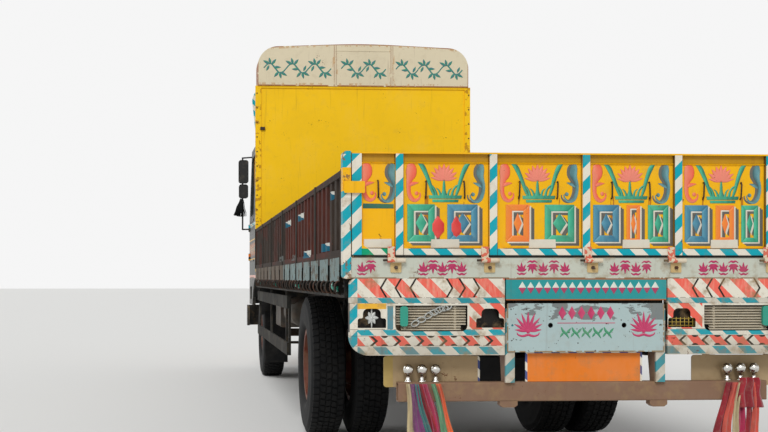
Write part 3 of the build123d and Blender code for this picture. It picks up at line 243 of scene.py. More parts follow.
class Paint(Tree):
    """One material: its coordinates as values, and the hue that its layers have built so far."""

    def __init__(self, name, base):
        self.material = bpy.data.materials.new(name)
        self.material.use_nodes = True
        super().__init__(self.material.node_tree)
        self.tree.nodes.clear()
        self.hue = base
        self.place = self.node("ShaderNodeTexCoord").outputs["Object"]
        parts = self.node("ShaderNodeSeparateXYZ", values={0: self.place}).outputs
        self.x, self.y, self.z = (Value(self, part) for part in parts)

    def noise(self, scale, detail=4, rough=0.55, stretch=(1, 1, 1), shift=0.0):
        moved = self.node("ShaderNodeMapping", values={
            "Vector": self.place, "Scale": stretch, "Location": (shift, shift, shift)})
        made = self.node("ShaderNodeTexNoise", values={
            "Vector": moved.outputs[0], "Scale": scale, "Detail": detail, "Roughness": rough})
        return Value(self, made.outputs[0])

    def mix(self, under, over, mask):
        made = self.node("ShaderNodeMix", {"data_type": "RGBA"}, {0: mask, 6: under, 7: over})
        return made.outputs[2]

    def lay(self, over, mask):
        """Puts a colour over what lies there already, as far as the mask says."""
        self.hue = self.mix(self.hue, over, mask)

    def stripes(self, along, pitch=stripe_pitch):
        """1 on the painted half of each pitch, measured along a slanted value."""
        return (along / pitch + 100).fraction() < 0.5

    def striped(self, along, over=TEAL, pitch=stripe_pitch):
        """Cream with stripes of a second colour, which is teal on most of the borders."""
        return self.mix(CREAM, over, self.stripes(along, pitch))

    def between(self, value, low, high):
        return (value > low) & (value < high)

    def finish(self, roughness, metallic=0.0, height=None, depth=0.0005, coat=0.0, **sockets):
        """Ends the tree in a principled shader; height feeds a Bump node."""
        values = {"Base Color": self.hue, "Roughness": roughness, "Metallic": metallic, "Coat Weight": coat,
                  **sockets}
        if height is not None:
            bump = self.node("ShaderNodeBump", values={"Height": height, "Distance": depth, "Strength": 0.6})
            values["Normal"] = bump.outputs[0]
        shader = self.node("ShaderNodeBsdfPrincipled", values=values)
        self.node("ShaderNodeOutputMaterial", values={0: shader.outputs[0]})
        return self.material


def worn_paint(name, base, rust=0.3, dust=0.3, rough=0.42, fade=0.14, dirt=0.2, pattern=None):
    """Brushed enamel: faded in patches, chipped, run with rust, and dusty towards the ground."""
    p = Paint(name, base)
    if pattern:
        pattern(p)
    broad = p.noise(2.3, detail=5)
    brush = p.noise(38, detail=3, stretch=(1, 1, 0.25))
    p.lay(SOOT_AND_SHADE, ((broad - 0.47) * (fade * 4)).limited())
    p.lay(CHALK, ((0.47 - broad) * (fade * 2.2) + (brush - 0.5) * 0.05).limited())
    smudge = p.noise(13, detail=6, rough=0.65, shift=6.0)
    p.lay(SMUDGE, ((smudge - 0.53 + 0.03 * dirt) * (6 * dirt)).limited() * 0.8)
    chips = p.noise(55, detail=6, rough=0.7)
    patches = p.noise(5.5, detail=3, shift=4.0)
    bare = (chips * 0.6 + patches * 0.4) > (0.665 - 0.075 * rust)
    p.lay(RUST, bare * 0.85)
    runs = p.noise(26, detail=4, stretch=(1, 1, 0.06), shift=9.0)
    p.lay(RUST, ((runs - 0.62 + 0.04 * rust) * 5 * rust).limited())
    grime = p.noise(9, detail=6, shift=2.0)
    low = ((1.5 - p.z) / 1.2).limited()
    p.lay(DUST, ((grime - 0.36) * (1.5 * dust) * (low + 0.25)).limited())
    roughness = (chips * 0.3 + rough - 0.1 + bare * 0.3).limited()
    height = chips * 0.5 + brush * 0.4 - bare * 0.8
    return p.finish(roughness, height=height, depth=0.0006, **{"Specular IOR Level": 0.22})


print("material builder ready")

# %% [markdown]
# Stripes are the truck's borders. On the posts they rise to the right, so they follow z minus x, and on the
# bands below the panels they fall to the right, so they follow x plus z. Each board's pattern is one function
# that lays its rows over the board's base colour.

# %% Patterns of the tail, beam and boards
post_edge = 0.0005
chamfer = 0.008
hinge_pin_squared = 0.0000423
hook_shift = 0.100


def tailgate_pattern(p):
    """Yellow panels, striped posts and outer frames, and a striped band along the bottom; painted shade under
    the top lip and along the foot, and seams of grime and painted shade beside the posts.
    """
    rising = p.striped(p.z - p.x)
    falling = p.stripes(p.x + p.z)
    band = (p.z < tail_bottom + tail_band) & (p.y < rear_face + 0.012)
    p.lay(p.mix(CREAM, TEAL, falling), band)
    p.lay(p.mix(CREAM, colour(0, 158, 112), falling), band & (abs(p.x) > 2 * post_pitch))
    front = (p.y < rear_face + 0.006) & (p.z < tail_top - chamfer)
    for step in range(-2, 3):
        p.lay(rising, (abs(p.x - step * post_pitch) < post_half + post_edge) & front)
    p.lay(rising, (abs(p.x) > half_tail - tail_frame) & front)
    # painted shade: a darker yellow on the recessed sheet under the overhanging top lip
    lip_shade = (p.z > tail_top - 0.050) & (p.y > rear_face + 0.005)
    p.lay(colour(120, 84, 20), lip_shade * 0.55)
    # dark seams on the recessed sheet beside the posts and along the band: partly grime in the joints, partly
    # painted shade in the corners
    seam_grime_and_shade = (p.z < tail_bottom + tail_band + 0.004) & (p.y > rear_face + 0.012)
    for step in range(-2, 3):
        beside = p.between(abs(p.x - step * post_pitch), post_half, post_half + 0.0045)
        seam_grime_and_shade = seam_grime_and_shade | (beside & (p.y > rear_face + 0.003))
    p.lay(colour(58, 40, 22), seam_grime_and_shade * 0.75)
    # painted shade: a dark strip along the tailgate's foot, in the gap above the beam
    p.lay(SOOT_AND_SHADE, (p.z < tail_bottom + 0.004) * 0.85)
    run = (p.noise(34, detail=4, stretch=(1, 1, 0.12)) > 0.5) * 0.7
    for centre in panel_centres:
        under_hook = abs(abs(p.x - centre) - hook_shift) < 0.010
        p.lay(colour(150, 72, 30), (under_hook & p.between(p.z, tail_top - 0.36, tail_top - 0.22)) * run)
    hinge = p.y < rear_face - 0.001
    p.lay(p.mix(colour(222, 204, 178), colour(214, 110, 88), p.noise(40, detail=1) > 0.5), hinge)
    p.lay(YELLOW, hinge & (p.z > tail_bottom + 0.2))


def rear_frame_pattern(p):
    """Pale beam face, striped corner posts with teal caps, cream and red hinge barrels."""
    post = abs(p.x) > half_tail + 0.003
    p.lay(p.striped(p.z - p.x), post)
    p.lay(TEAL, post & (p.z > tail_top - 0.012))
    p.lay(YELLOW, post & p.between(p.z, tail_top - 0.20, tail_top - 0.08))
    edge = (p.z < beam_bottom + 0.006) * (p.noise(16, detail=4) > 0.42)
    p.lay(colour(132, 104, 66), edge * 0.8)
    # painted shade: a dark strip along the top of the beam, in the gap under the tailgate
    p.lay(colour(36, 30, 26), ((p.z > deck_z - 0.006) & (abs(p.x) < half_tail)) * 0.85)
    peeled = (p.noise(7, detail=5, rough=0.7, stretch=(1, 1, 0.5)) > 0.56) & post
    p.lay(colour(126, 92, 66), peeled * 0.85)
    bracket = p.between(p.y, rear_face - 0.0074, rear_face - 0.001)
    p.lay(colour(206, 178, 124), bracket & (abs(p.x) < half_tail))
    barrel = p.y < rear_face - 0.0075
    p.lay(colour(222, 208, 184), barrel)
    from_pin = (p.y - hinge_y) * (p.y - hinge_y) + (p.z - hinge_z) * (p.z - hinge_z)
    p.lay(colour(52, 42, 34), barrel & (from_pin < hinge_pin_squared))


def chevrons(p, across, centre_z, apexes, direction, arm, half_height, thick):
    """A mask of bent lines: an apex points along +direction, its arms run back as z leaves the middle."""
    lean = abs(p.z - centre_z) * (arm / half_height)
    mask = None
    for apex in apexes:
        line = abs(across - apex + lean * direction) < thick
        mask = line if mask is None else mask | line
    return mask & (abs(p.z - centre_z) < half_height)


row_chevrons = (1.087, board_high.z)
row_upper_band = (1.059, 1.085)
row_lamps = (0.925, 1.058)
row_lower_band = (0.895, 0.923)
row_arrows = (0.841, 0.892)
row_bottom = (0.797, 0.836)
louvre_opening = (beam_bottom - 0.270, beam_bottom - 0.138)
outer_edge = 1.186
arrow_pitch = 0.119
moon_shift, moon_half, moon_height = 0.078, 0.017, 0.010


def lamp_board_pattern(p):
    """Rows of slanted stripes, black chevrons and small arrows round the lamp openings, and painted
    near-black shade inside the openings.
    """
    side = abs(p.x)
    falling = p.stripes(p.x + p.z)
    row = p.between(p.z, *row_chevrons)
    streaks = p.noise(60, detail=3, stretch=(1, 1, 0.2))
    marbled = p.mix(SALMON, colour(240, 190, 168), ((streaks - 0.45) * 3).limited() * 0.55)
    p.lay(p.striped(p.x + p.z, marbled, 0.149), row)
    middle = sum(row_chevrons) / 2
    inner = chevrons(p, side, middle, (0.915, 0.991, 1.067), 1, 0.030, 0.050, 0.0054)
    outer = chevrons(p, side, middle, (0.698, 0.633, 0.559), -1, 0.030, 0.050, 0.0054)
    p.lay(BLACK, (inner | outer) & row)
    for low, high in (row_upper_band, row_lower_band, row_bottom):
        p.lay(TEAL, falling & p.between(p.z, low, high))
    p.lay(colour(96, 150, 158), falling & p.between(p.z, *row_bottom) & (p.noise(7) > 0.45))
    arrow_row = p.between(p.z, *row_arrows)
    p.lay(SALMON, arrow_row & p.stripes(p.x * 1.15 + p.z))
    arrow_middle = sum(row_arrows) / 2
    arrow_places = [0.493 + arrow_pitch * i for i in range(6)]
    p.lay(BLACK, chevrons(p, side, arrow_middle, arrow_places, -1, 0.028, 0.025, 0.0082))
    edge_gap = (abs(p.z - arrow_middle) - (row_arrows[1] - row_arrows[0]) / 2) / moon_height
    for place in arrow_places[:-1]:
        across = abs(side - place - moon_shift) / moon_half
        p.lay(BLACK, ((across * across + edge_gap * edge_gap) < 1) & arrow_row)
    lamp_row = p.between(p.z, *row_lamps)
    p.lay(colour(238, 182, 60), lamp_row & p.between(side, 1.039, outer_edge) & (p.z > 1.029))
    p.lay(SALMON, lamp_row & p.between(side, 0.427, 0.61) & p.stripes(p.x + p.z, 0.11))
    p.lay(BLUE_GREY, lamp_row & p.between(side, 1.003, 1.033) & (p.z < 1.045))
    p.lay(p.striped(p.z - p.x), side > outer_edge)
    for low, high in (row_chevrons, row_lamps, row_arrows):
        line = (abs(p.z - low) < 0.0014) | (abs(p.z - high) < 0.0014)
        p.lay(colour(70, 56, 44), line * (p.noise(22, detail=3) > 0.45) * 0.75)
    veiled = p.between(p.z, *row_upper_band) * p.noise(9, detail=5)
    p.lay(colour(70, 66, 56), veiled * 0.5)
    sooty = ((0.95 - p.z) * 6).limited() * p.noise(6, detail=5)
    p.lay(colour(112, 100, 82), sooty * 0.75)
    # painted shade: near-black on the walls and backing plate inside the lamp and louvre openings
    opening_shade = p.y > rear_face + 0.003
    p.lay(colour(12, 12, 12), opening_shade & p.between(p.z, louvre_opening[0] - 0.004, row_lamps[1] + 0.002))


print("rows of the lamp boards", row_chevrons, row_lamps)

# %% [markdown]
# The plates under the beam are plain enamel with worn borders. The orange plate keeps its blue and white
# border, the hangers carry the same slanted stripes as the posts, and the centre plate is scuffed to grey
# near its top.

# %% Patterns of the plates, bumper and header
orange_top, orange_half = 0.811, 0.308
edge_line = 0.006
header_seam, header_rise = 0.330, 0.035
mark_half_height = 0.024
rim_radius = 0.278
crown_side, crown_foot, crown_rise = 1.085, 2.905, 0.0556
sunrise_z, disc_z = 2.86, 3.12
disc_rings = ((0.165, CREAM), (0.140, colour(24, 118, 110)), (0.095, BLOCK_RED))


def sign_pattern(p):
    edge = abs(p.z - (sign_low.z + sign_high.z) / 2) > (sign_high.z - sign_low.z) / 2 - edge_line
    p.lay(colour(170, 96, 48), edge)


def centre_plate_pattern(p):
    scuff = (p.noise(9, detail=6, stretch=(1, 1, 2.2)) > 0.52) & (p.z > plate_high.z - 0.085)
    p.lay(colour(122, 130, 130), scuff)
    rim = (abs(p.x) > plate_high.x - edge_line) | (p.z < plate_low.z + edge_line)
    p.lay(colour(150, 130, 100), rim * (p.noise(30, detail=3) > 0.45))
    p.lay(colour(60, 56, 50), p.noise(50, detail=2) > 0.69)


def rear_plates_pattern(p):
    """Orange between the hangers, with a striped rim, and cream outside them."""
    border = p.striped(p.x + p.z, BORDER_BLUE, 0.09)
    middle = abs(p.x) < 0.4
    p.lay(PLATE_CREAM, p.between(p.x, -0.985, 1.05))
    p.lay(border, p.between(p.x, -0.540, -0.4))
    p.lay(SIGN_ORANGE, middle)
    p.lay(border, middle & ((abs(p.x) > orange_half - 0.011) | (p.z > orange_top - 0.012)))


def bumper_pattern(p):
    hanger = p.between(abs(p.x), 0.36, 0.43) & p.between(p.z, bumper_low.z + 0.11, beam_bottom)
    striped = p.mix(p.striped(p.z - p.x, pitch=0.11), colour(104, 96, 80), p.noise(7, detail=5) * 0.75)
    p.lay(striped, hanger & (p.y < rear_face + 0.03))


def header_pattern(p):
    """Rust along the edges and seams; header_rise bends the top edge as the header's own top is bent."""
    seam = abs(abs(p.x) - header_seam)
    bent = p.z + p.x * p.x * header_rise
    edge = (abs(p.x) > header_high.x - 0.008) | (p.z < header_low.z + 0.012) | p.between(seam, 0.0085, 0.0135)
    near = (seam < 0.030) | (p.z < header_low.z + 0.035) | (bent > header_high.z - 0.030)
    p.lay(RUST_RUN, (edge | (bent > header_high.z - 0.012)) * (p.noise(9, detail=5) > 0.38) * 0.9)
    p.lay(colour(196, 150, 96), near * (p.noise(20, detail=6, stretch=(1, 1, 0.4)) > 0.54) * 0.6)


def headboard_pattern(p):
    flange = (abs(p.x) > headboard_high.x - 0.065) & (p.noise(16, detail=5) > 0.56)
    p.lay(colour(150, 84, 24), flange * 0.6)


def wall_pattern(p):
    """Red oxide on the fluted sheet, with the rails rubbed to bare steel and old marks on the flutes."""
    rail = (p.z > wall_high.z - 0.045) | (p.z < deck_z + 0.010)
    worn = p.noise(6, detail=6, rough=0.7)
    red_bays = p.between(p.y, -4.08, -1.30)
    # WALL_RED is the red oxide, kept dark partly as painted shade
    p.lay(WALL_RED, (red_bays * 0.8 + (p.noise(1.6, detail=2) > 0.58) * 0.5).limited())
    p.lay(colour(34, 24, 19), ((worn - 0.42) * 2.6).limited())
    p.lay(colour(50, 38, 30), rail * (p.noise(18, detail=4) > 0.44))
    p.lay(colour(38, 34, 30), abs(p.x) > wall_high.x - 0.007)
    for y, z in ((-0.940, 1.348), (-2.085, 1.339)):
        faded = (abs(p.y - y) < 0.20) & (abs(p.z - z) < 0.022)
        p.lay(colour(96, 100, 98), faded * (p.noise(26, detail=5) > 0.48))
    marks = ((-1.560, 1.614, 0.25, 0.0), (-2.540, 1.616, 0.21, 0.0), (-4.250, 1.644, 0.083, 0.0),
             (-2.960, 1.345, 0.225, 0.0), (-3.890, 1.365, 0.205, 0.9))  # y, z, half length, share of blue
    for y, z, half, blue in marks:
        inside = (abs(p.y - y) < half) & (abs(p.z - z) < mark_half_height) & (abs(p.x) > wall_high.x - 0.034)
        white = (p.z - z) / mark_half_height - (p.y - y) / half > blue
        tone = p.mix(colour(14, 92, 116), colour(206, 206, 198), white)
        p.lay(tone, inside * (p.noise(40, detail=4) > 0.36))


def skirt_pattern(p):
    """Pale blue-grey at the back of the truck, brown primer further forward."""
    pale = (p.y < -1.2) * 0.9 + (p.noise(1.3, detail=1, shift=3.0) > 0.60) * 0.5
    p.lay(colour(122, 142, 142), pale.limited())
    p.lay(colour(84, 78, 70), p.noise(14, detail=6, rough=0.7) > 0.55)


def spare_pattern(p):
    """A mask: 1 nearer to the spare wheel's own axis than its rim's edge."""
    low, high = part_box("spare_wheel")
    middle = (low.y + high.y) / 2
    return p.x * p.x + (p.y - middle) * (p.y - middle) < rim_radius * rim_radius


def crown_pattern(p):
    """A sunburst over the windscreen, with a red disc, inside a striped border."""
    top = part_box("crown_board")[1].z
    p.lay(colour(226, 92, 52), p.stripes(p.math("ARCTAN2", p.x, p.z - sunrise_z), 0.17))
    from_disc = p.x * p.x + (p.z - disc_z) * (p.z - disc_z)
    for radius, tone in disc_rings:
        p.lay(tone, from_disc < radius * radius)
    border = (abs(p.x) > crown_side) | (p.z + p.x * p.x * crown_rise > top - 0.050) | (p.z < crown_foot)
    p.lay(p.striped(p.x + p.z), border)


def front_bumper_pattern(p):
    """Slanted red and cream stripes on the front face, dark at the ends and behind."""
    face = (p.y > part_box("front_bumper")[1].y - 0.03) & (abs(p.x) < 1.02)
    p.lay(p.striped(p.x + p.z, BLOCK_RED, 0.18), face)


def cab_pattern(p):
    """Golden yellow front and back, dark sides with a row of lozenges, two striped lines and a dark skirt;
    the sides' ground and the skirt are darkened partly as painted shade.
    """
    side = (abs(p.x) > 1.150) & (p.y < 4.60)
    lozenges = abs((p.y / 0.24 + 100).fraction() - 0.5) * 2 + abs(p.z - 1.55) / 0.10
    # the sides' dark ground: dark paint, darkened further as painted shade
    p.lay(colour(34, 42, 41), side)
    p.lay(ORANGE, side & (lozenges < 0.95))
    p.lay(colour(20, 126, 120), side & (lozenges < 0.55))
    p.lay(colour(220, 170, 60), side & (p.between(p.z, 1.42, 1.435) | p.between(p.z, 1.665, 1.68)))
    around_cab = p.y + p.x + p.z
    p.lay(p.striped(around_cab), p.between(p.z, 1.845, 1.885))
    p.lay(p.striped(around_cab, SALMON), p.between(p.z, 1.19, 1.225))
    # the skirt: dark paint, darkened further as painted shade
    p.lay(colour(44, 46, 46), p.z < 1.19)


print("plate centre", round((plate_low.z + plate_high.z) / 2, 3))

# %% [markdown]
# The finishes that aren't enamel: bare and rusty steel, cast iron, polished chrome, dusty rubber, worn planks
# with a grain along the deck, moulded plastic, glass and leather.

# %% Other finishes
def dull_metal(name, base, rough=0.6, metallic=0.4, rust=0.3, dust=0.4):
    p = Paint(name, base)
    patches = p.noise(7, detail=6, rough=0.65)
    fine = p.noise(90, detail=4)
    p.lay(RUST, ((patches - 0.52 + 0.08 * rust) * 5 * rust).limited())
    low = ((1.3 - p.z) / 1.1).limited()
    p.lay(DUST, ((p.noise(12, detail=5, shift=3.0) - 0.4) * dust * (low + 0.2) * 2).limited())
    return p.finish((fine * 0.3 + rough - 0.15).limited(), metallic=metallic, height=fine, depth=0.0004)


def rubber(name, dusty=0.35, rim=None):
    """Black rubber with dust; rim is a pattern that tells where painted steel shows instead."""
    p = Paint(name, colour(10, 11, 12))
    fine = p.noise(160, detail=3)
    p.lay(colour(66, 62, 57), ((p.noise(10, detail=5) - 0.44) * dusty * 1.3).limited())
    if rim:
        p.lay(colour(116, 60, 46), rim(p))
    return p.finish(fine * 0.15 + 0.72, height=fine, depth=0.0003, **{"Specular IOR Level": 0.3})


def planks(name):
    p = Paint(name, colour(122, 92, 62))
    grain = p.noise(30, detail=6, stretch=(1, 0.05, 1))
    board = p.node("ShaderNodeTexWhiteNoise", {"noise_dimensions": "1D"}, {1: p.math("FLOOR", p.x / 0.2)})
    p.lay(colour(70, 52, 36), grain)
    p.lay(colour(150, 128, 100), Value(p, board.outputs[0]) * 0.4)
    p.lay(colour(58, 50, 42), ((p.noise(4, detail=5) - 0.5) * 2).limited())
    return p.finish(grain * 0.2 + 0.65, height=grain, depth=0.0015)


def shiny(name, base, rough=0.12):
    p = Paint(name, base)
    smear = p.noise(24, detail=5)
    p.lay(DUST, ((smear - 0.5) * 0.3).limited())
    return p.finish((smear * 0.25 + rough - 0.08).limited(), metallic=1.0, height=smear, depth=0.0001)


def moulded(name, base):
    p = Paint(name, base)
    pits = p.noise(220, detail=2)
    p.lay(DUST, ((p.noise(14, detail=5) - 0.5) * 0.7).limited())
    return p.finish(pits * 0.2 + 0.4, height=pits, depth=0.0003)


def lens(name, base):
    p = Paint(name, base)
    p.lay(DUST, ((p.noise(20, detail=4) - 0.5) * 0.5).limited())
    return p.finish(p.noise(30) * 0.1 + 0.12, height=(p.z * 900).sine(), depth=0.0003, coat=0.6)


def clear_glass(name):
    p = Paint(name, colour(34, 46, 46))
    smear = p.noise(5, detail=6)
    p.lay(DUST, ((smear - 0.5) * 0.5).limited())
    return p.finish((smear * 0.1 + 0.02).limited(), coat=0.4, **{"Alpha": (smear * 0.2 + 0.22).limited()})


def leather(name, base):
    p = Paint(name, base)
    cells = p.node("ShaderNodeTexVoronoi", values={"Vector": p.place, "Scale": 240.0})
    creases = Value(p, cells.outputs[0])
    p.lay(colour(150, 104, 80), ((p.noise(9, detail=5) - 0.5) * 1.2).limited())
    return p.finish(creases * 0.2 + 0.42, height=creases + p.noise(20) * 2, depth=0.0006)


print("other finishes ready")

# %% [markdown]
# Sign painters load a flat brush with two tones at once, so each stroke runs from one tone to the other
# across its width, with a thin darker line at its edges. The forms built below keep how far across a stroke
# each point lies in a UV map named form, and this finish reads it. So do the tiles, for their bevelled edges.

# %% Brushwork and cloth
def brushwork(name, left, right, line=SHADE_GREY, edge=0.43, rough=0.4, wear=0.3):
    """Two tones across a stroke, a darker line at both edges, and the wear of the panel under it."""
    p = Paint(name, left)
    form = p.node("ShaderNodeUVMap", {"uv_map": "form"}).outputs[0]
    across = Value(p, p.node("ShaderNodeSeparateXYZ", values={0: form}).outputs[0])
    streak = p.noise(70, detail=3, stretch=(1, 1, 0.3))
    p.lay(right, ((across - 0.5) * 1.3 + streak * 0.9 + 0.05).limited())
    p.lay(line, (abs(across - 0.5) > edge) * 0.55)
    flakes = p.noise(60, detail=6, rough=0.7)
    bare = (flakes * 0.6 + p.noise(6, detail=3, shift=7.0) * 0.4) > (0.66 - 0.07 * wear)
    p.lay(RUST, bare * 0.7)
    p.lay(DUST, ((p.noise(8, detail=5) - 0.5) * 0.6).limited())
    return p.finish((flakes * 0.3 + rough - 0.1).limited(), height=streak - bare * 0.6, depth=0.0004)


thread_width = 0.0016


def woven(name, base, fold_shade):
    """Thin dyed cloth: a fine weave along its own UV map, with a darker copy of its colour in long streaks as
    painted shade of its folds.
    """
    p = Paint(name, base)
    flat = p.node("ShaderNodeUVMap", {"uv_map": "flat"}).outputs[0]
    parts = p.node("ShaderNodeSeparateXYZ", values={0: flat}).outputs
    across, down = Value(p, parts[0]), Value(p, parts[1])
    weave = (across * (math.tau / thread_width)).sine() * (down * (math.tau / thread_width)).sine()
    # painted shade: streaks of the darker copy of the colour stand for the shade in the folds
    dirt = p.noise(26, detail=4, stretch=(1, 1, 0.2))
    p.lay(fold_shade, ((dirt - 0.40) * 2.4).limited())
    p.lay(DUST, ((p.noise(50, detail=5) - 0.52) * 1.4).limited())
    return p.finish(weave * 0.05 + 0.85, height=weave * 0.4 + dirt, depth=0.0004,
                    **{"Sheen Weight": 0.3, "Sheen Roughness": 0.5})


cloth_tones = {tone: woven("cloth_" + tone, colour(*base), colour(*fold_shade)) for tone, base, fold_shade in (
    ("purple", (128, 62, 116), (62, 34, 62)),
    ("teal", (52, 118, 116), (24, 58, 62)),
    ("red", (158, 30, 44), (84, 18, 26)),
    ("green", (104, 160, 118), (46, 84, 58)),
    ("orange", (236, 112, 58), (150, 58, 30)),
    ("tan", (198, 182, 142), (124, 104, 74)),
    ("magenta", (176, 40, 82), (92, 20, 44)),
    ("salmon", (214, 92, 76), (124, 46, 38)),
)}
print("brushwork and cloth ready")

# %% [markdown]
# The lotuses, plumes, crowns and tiles stand a little proud of the tail, as thick enamel and cut steel do.
# Relief builds such forms in x and z on a flat back: strokes along a smooth line, petals, domes and bevelled
# tiles. Each form is a closed body of its own, so its normals can be made to point outwards at the end.

# %% Low relief
def smooth_line(points, steps):
    """The Catmull-Rom line through points of any length of tuple, steps to a span."""
    padded_points = [points[0], *points, points[-1]]
    line = []
    for i in range(len(points) - 1):
        for step in range(steps):
            t = step / steps
            line.append(tuple(
                0.5 * (2 * b + (c - a) * t + (2 * a - 5 * b + 4 * c - d) * t * t
                       + (3 * b - a - 3 * c + d) * t ** 3)
                for a, b, c, d in zip(*padded_points[i:i + 4])))
    return [*line, tuple(points[-1])]


class Relief:
    """Low closed forms on a back at a given y, with u across and v along each in the UV map named form."""

    def __init__(self, back=0.0):
        self.mesh = bmesh.new()
        self.uv = self.mesh.loops.layers.uv.new("form")
        self.back = back

    def skin(self, rings, marks, smooth=True, loop=False):
        """Joins rings of points one after another, then closes both ends or joins the last to the first."""
        made = [[self.mesh.verts.new(point) for point in ring] for ring in rings]
        count = len(rings[0])
        for row in range(len(made) if loop else len(made) - 1):
            ahead = (row + 1) % len(made)
            for i in range(count):
                corners = ((row, i), (row, (i + 1) % count), (ahead, (i + 1) % count), (ahead, i))
                self.face([(made[r][k], marks[r][k]) for r, k in corners], smooth)
        if not loop:
            for row in (0, -1):
                self.face(list(zip(made[row], marks[row])), False)

    def face(self, corners, smooth):
        face = self.mesh.faces.new([vertex for vertex, mark in corners])
        face.smooth = smooth
        for loop, (vertex, mark) in zip(face.loops, corners):
            loop[self.uv].uv = mark

    def stroke(self, points, height=0.003, steps=5):
        """A rounded stroke through points of (x, z, width); drawn downwards, u runs from left to right."""
        line = smooth_line(points, steps)
        rings, marks = [], []
        for i, (x, z, width) in enumerate(line):
            ahead, behind = line[min(i + 1, len(line) - 1)], line[max(i - 1, 0)]
            along = Vector((ahead[0] - behind[0], ahead[1] - behind[1])).normalized()
            ring, mark = [], []
            for u, lift in ((0, 0), (0.1, 0.7), (0.5, 1), (0.9, 0.7), (1, 0)):
                reach = (u - 0.5) * width
                ring.append((x - along.y * reach, self.back - height * lift, z + along.x * reach))
                mark.append((u, i / (len(line) - 1)))
            rings.append(ring)
            marks.append(mark)
        self.skin(rings, marks)

    def petal(self, x, z, degrees, length, width, height=0.003):
        """A pointed petal from its root; 0 degrees points up and 90 to the right."""
        lean = Vector((math.sin(math.radians(degrees)), math.cos(math.radians(degrees))))
        shape = ((1, 0.06), (0.75, 0.66), (0.4, 1.0), (0.0, 0.3))
        line = [(x + lean.x * length * t, z + lean.y * length * t, width * w) for t, w in shape]
        self.stroke(line, height, 3)

    def tile(self, outline, height=0.004, inset=0.006):
        """A bevelled plate over an outline; its face is smaller than its foot by inset on every side."""
        corners = [Vector(corner) for corner in outline]
        middle = sum(corners, Vector((0, 0))) / len(corners)
        rings, marks = [], []
        for reach, lift, mark in ((0, 0, 0.42), (0, 0.6, 0.42), (inset, 1, 0.34)):
            ring = []
            for i, corner in enumerate(corners):
                before, after = corner - corners[i - 1], corners[(i + 1) % len(corners)] - corner
                sides = []
                for edge in (before, after):
                    inward = Vector((-edge.y, edge.x)).normalized()
                    sides.append(inward if inward.dot(middle - corner) > 0 else -inward)
                moved = corner + (sides[0] + sides[1]) * (reach / (1 + sides[0].dot(sides[1])))
                ring.append((moved.x, self.back - height * lift, moved.y))
            rings.append(ring)
            marks.append([(0.5 + math.copysign(mark, corner.x - middle.x), 0.5) for corner in corners])
        self.skin(rings, marks, smooth=False)

    def dome(self, x, z, radius, height=0.004, sides=16):
        """A low round boss."""
        rings, marks = [], []
        for share, lift in ((1, 0), (0.94, 0.5), (0.7, 0.9), (0.3, 1)):
            turns = [math.tau * i / sides for i in range(sides)]
            rings.append([(x + radius * share * math.cos(a), self.back - height * lift,
                           z + radius * share * math.sin(a)) for a in turns])
            marks.append([(0.5 + 0.45 * share * math.cos(a), 0.5) for a in turns])
        self.skin(rings, marks)

    def result(self, name):
        """The finished mesh, with every form facing outwards."""
        bmesh.ops.recalc_face_normals(self.mesh, faces=self.mesh.faces)
        mesh = bpy.data.meshes.new(name)
        self.mesh.to_mesh(mesh)
        self.mesh.free()
        return mesh


def put(name, data):
    """A new object in the scene."""
    made = bpy.data.objects.new(name, data)
    bpy.context.scene.collection.objects.link(made)
    return made


def evaluated(piece, **options):
    """The mesh of an object as its modifiers leave it."""
    graph = bpy.context.evaluated_depsgraph_get()
    return bpy.data.meshes.new_from_object(piece.evaluated_get(graph), depsgraph=graph, **options)


def dress(name, shape, body, finish=None):
    """A piece from a mesh or relief that lies in its place: its finish and the body it rides."""
    mesh = shape.result(name) if isinstance(shape, Relief) else shape
    if finish is not None:
        mesh.materials.clear()
        mesh.materials.append(finish)
    piece = put(name, mesh)
    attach(piece, body)
    return piece


def rounded(corners, radii, steps=6):
    """A closed outline in (x, z) with each corner turned through an arc of its radius."""
    line = []
    for i, (corner, radius) in enumerate(zip(corners, radii)):
        here = Vector(corner)
        if not radius:
            line.append(here)
            continue
        back = (Vector(corners[i - 1]) - here).normalized()
        ahead = (Vector(corners[(i + 1) % len(corners)]) - here).normalized()
        half = back.angle(ahead) / 2
        centre = here + (back + ahead).normalized() * (radius / math.sin(half))
        start, end = (here + side * (radius / math.tan(half)) - centre for side in (back, ahead))
        line += [centre + start.slerp(end, step / steps) * radius for step in range(steps + 1)]
    return line


def box_outline(x0, x1, z0, z1):
    """The four corners of an upright rectangle, from its foot round to its top left."""
    return [(x0, z0), (x1, z0), (x1, z1), (x0, z1)]


def cut_plate(outline, openings, front, depth):
    """A plate cut to an outline in (x, z), with openings, from its rear face inwards, as a mesh."""
    shape = bpy.data.curves.new("plate", "CURVE")
    shape.dimensions, shape.fill_mode, shape.extrude = "2D", "BOTH", depth / 2
    for line in (outline, *openings):
        spline = shape.splines.new("POLY")
        spline.points.add(len(line) - 1)
        for point, (x, z) in zip(spline.points, line):
            point.co = (x, z, 0, 1)
        spline.use_cyclic_u = True
    holder = put("plate", shape)
    mesh = evaluated(holder)
    bpy.data.objects.remove(holder)
    mesh.transform(Matrix.Translation((0, front + depth / 2, 0)) @ Matrix.Rotation(math.radians(90), 4, "X"))
    return mesh


def joined(name, meshes):
    """One closed mesh from several, with what touches inside each welded."""
    whole = bmesh.new()
    for mesh in meshes:
        single = bmesh.new()
        single.from_mesh(mesh)
        bmesh.ops.remove_doubles(single, verts=single.verts, dist=0.00002)
        bmesh.ops.recalc_face_normals(single, faces=single.faces)
        single.to_mesh(mesh)
        single.free()
        whole.from_mesh(mesh)
    made = bpy.data.meshes.new(name)
    whole.to_mesh(made)
    whole.free()
    return made


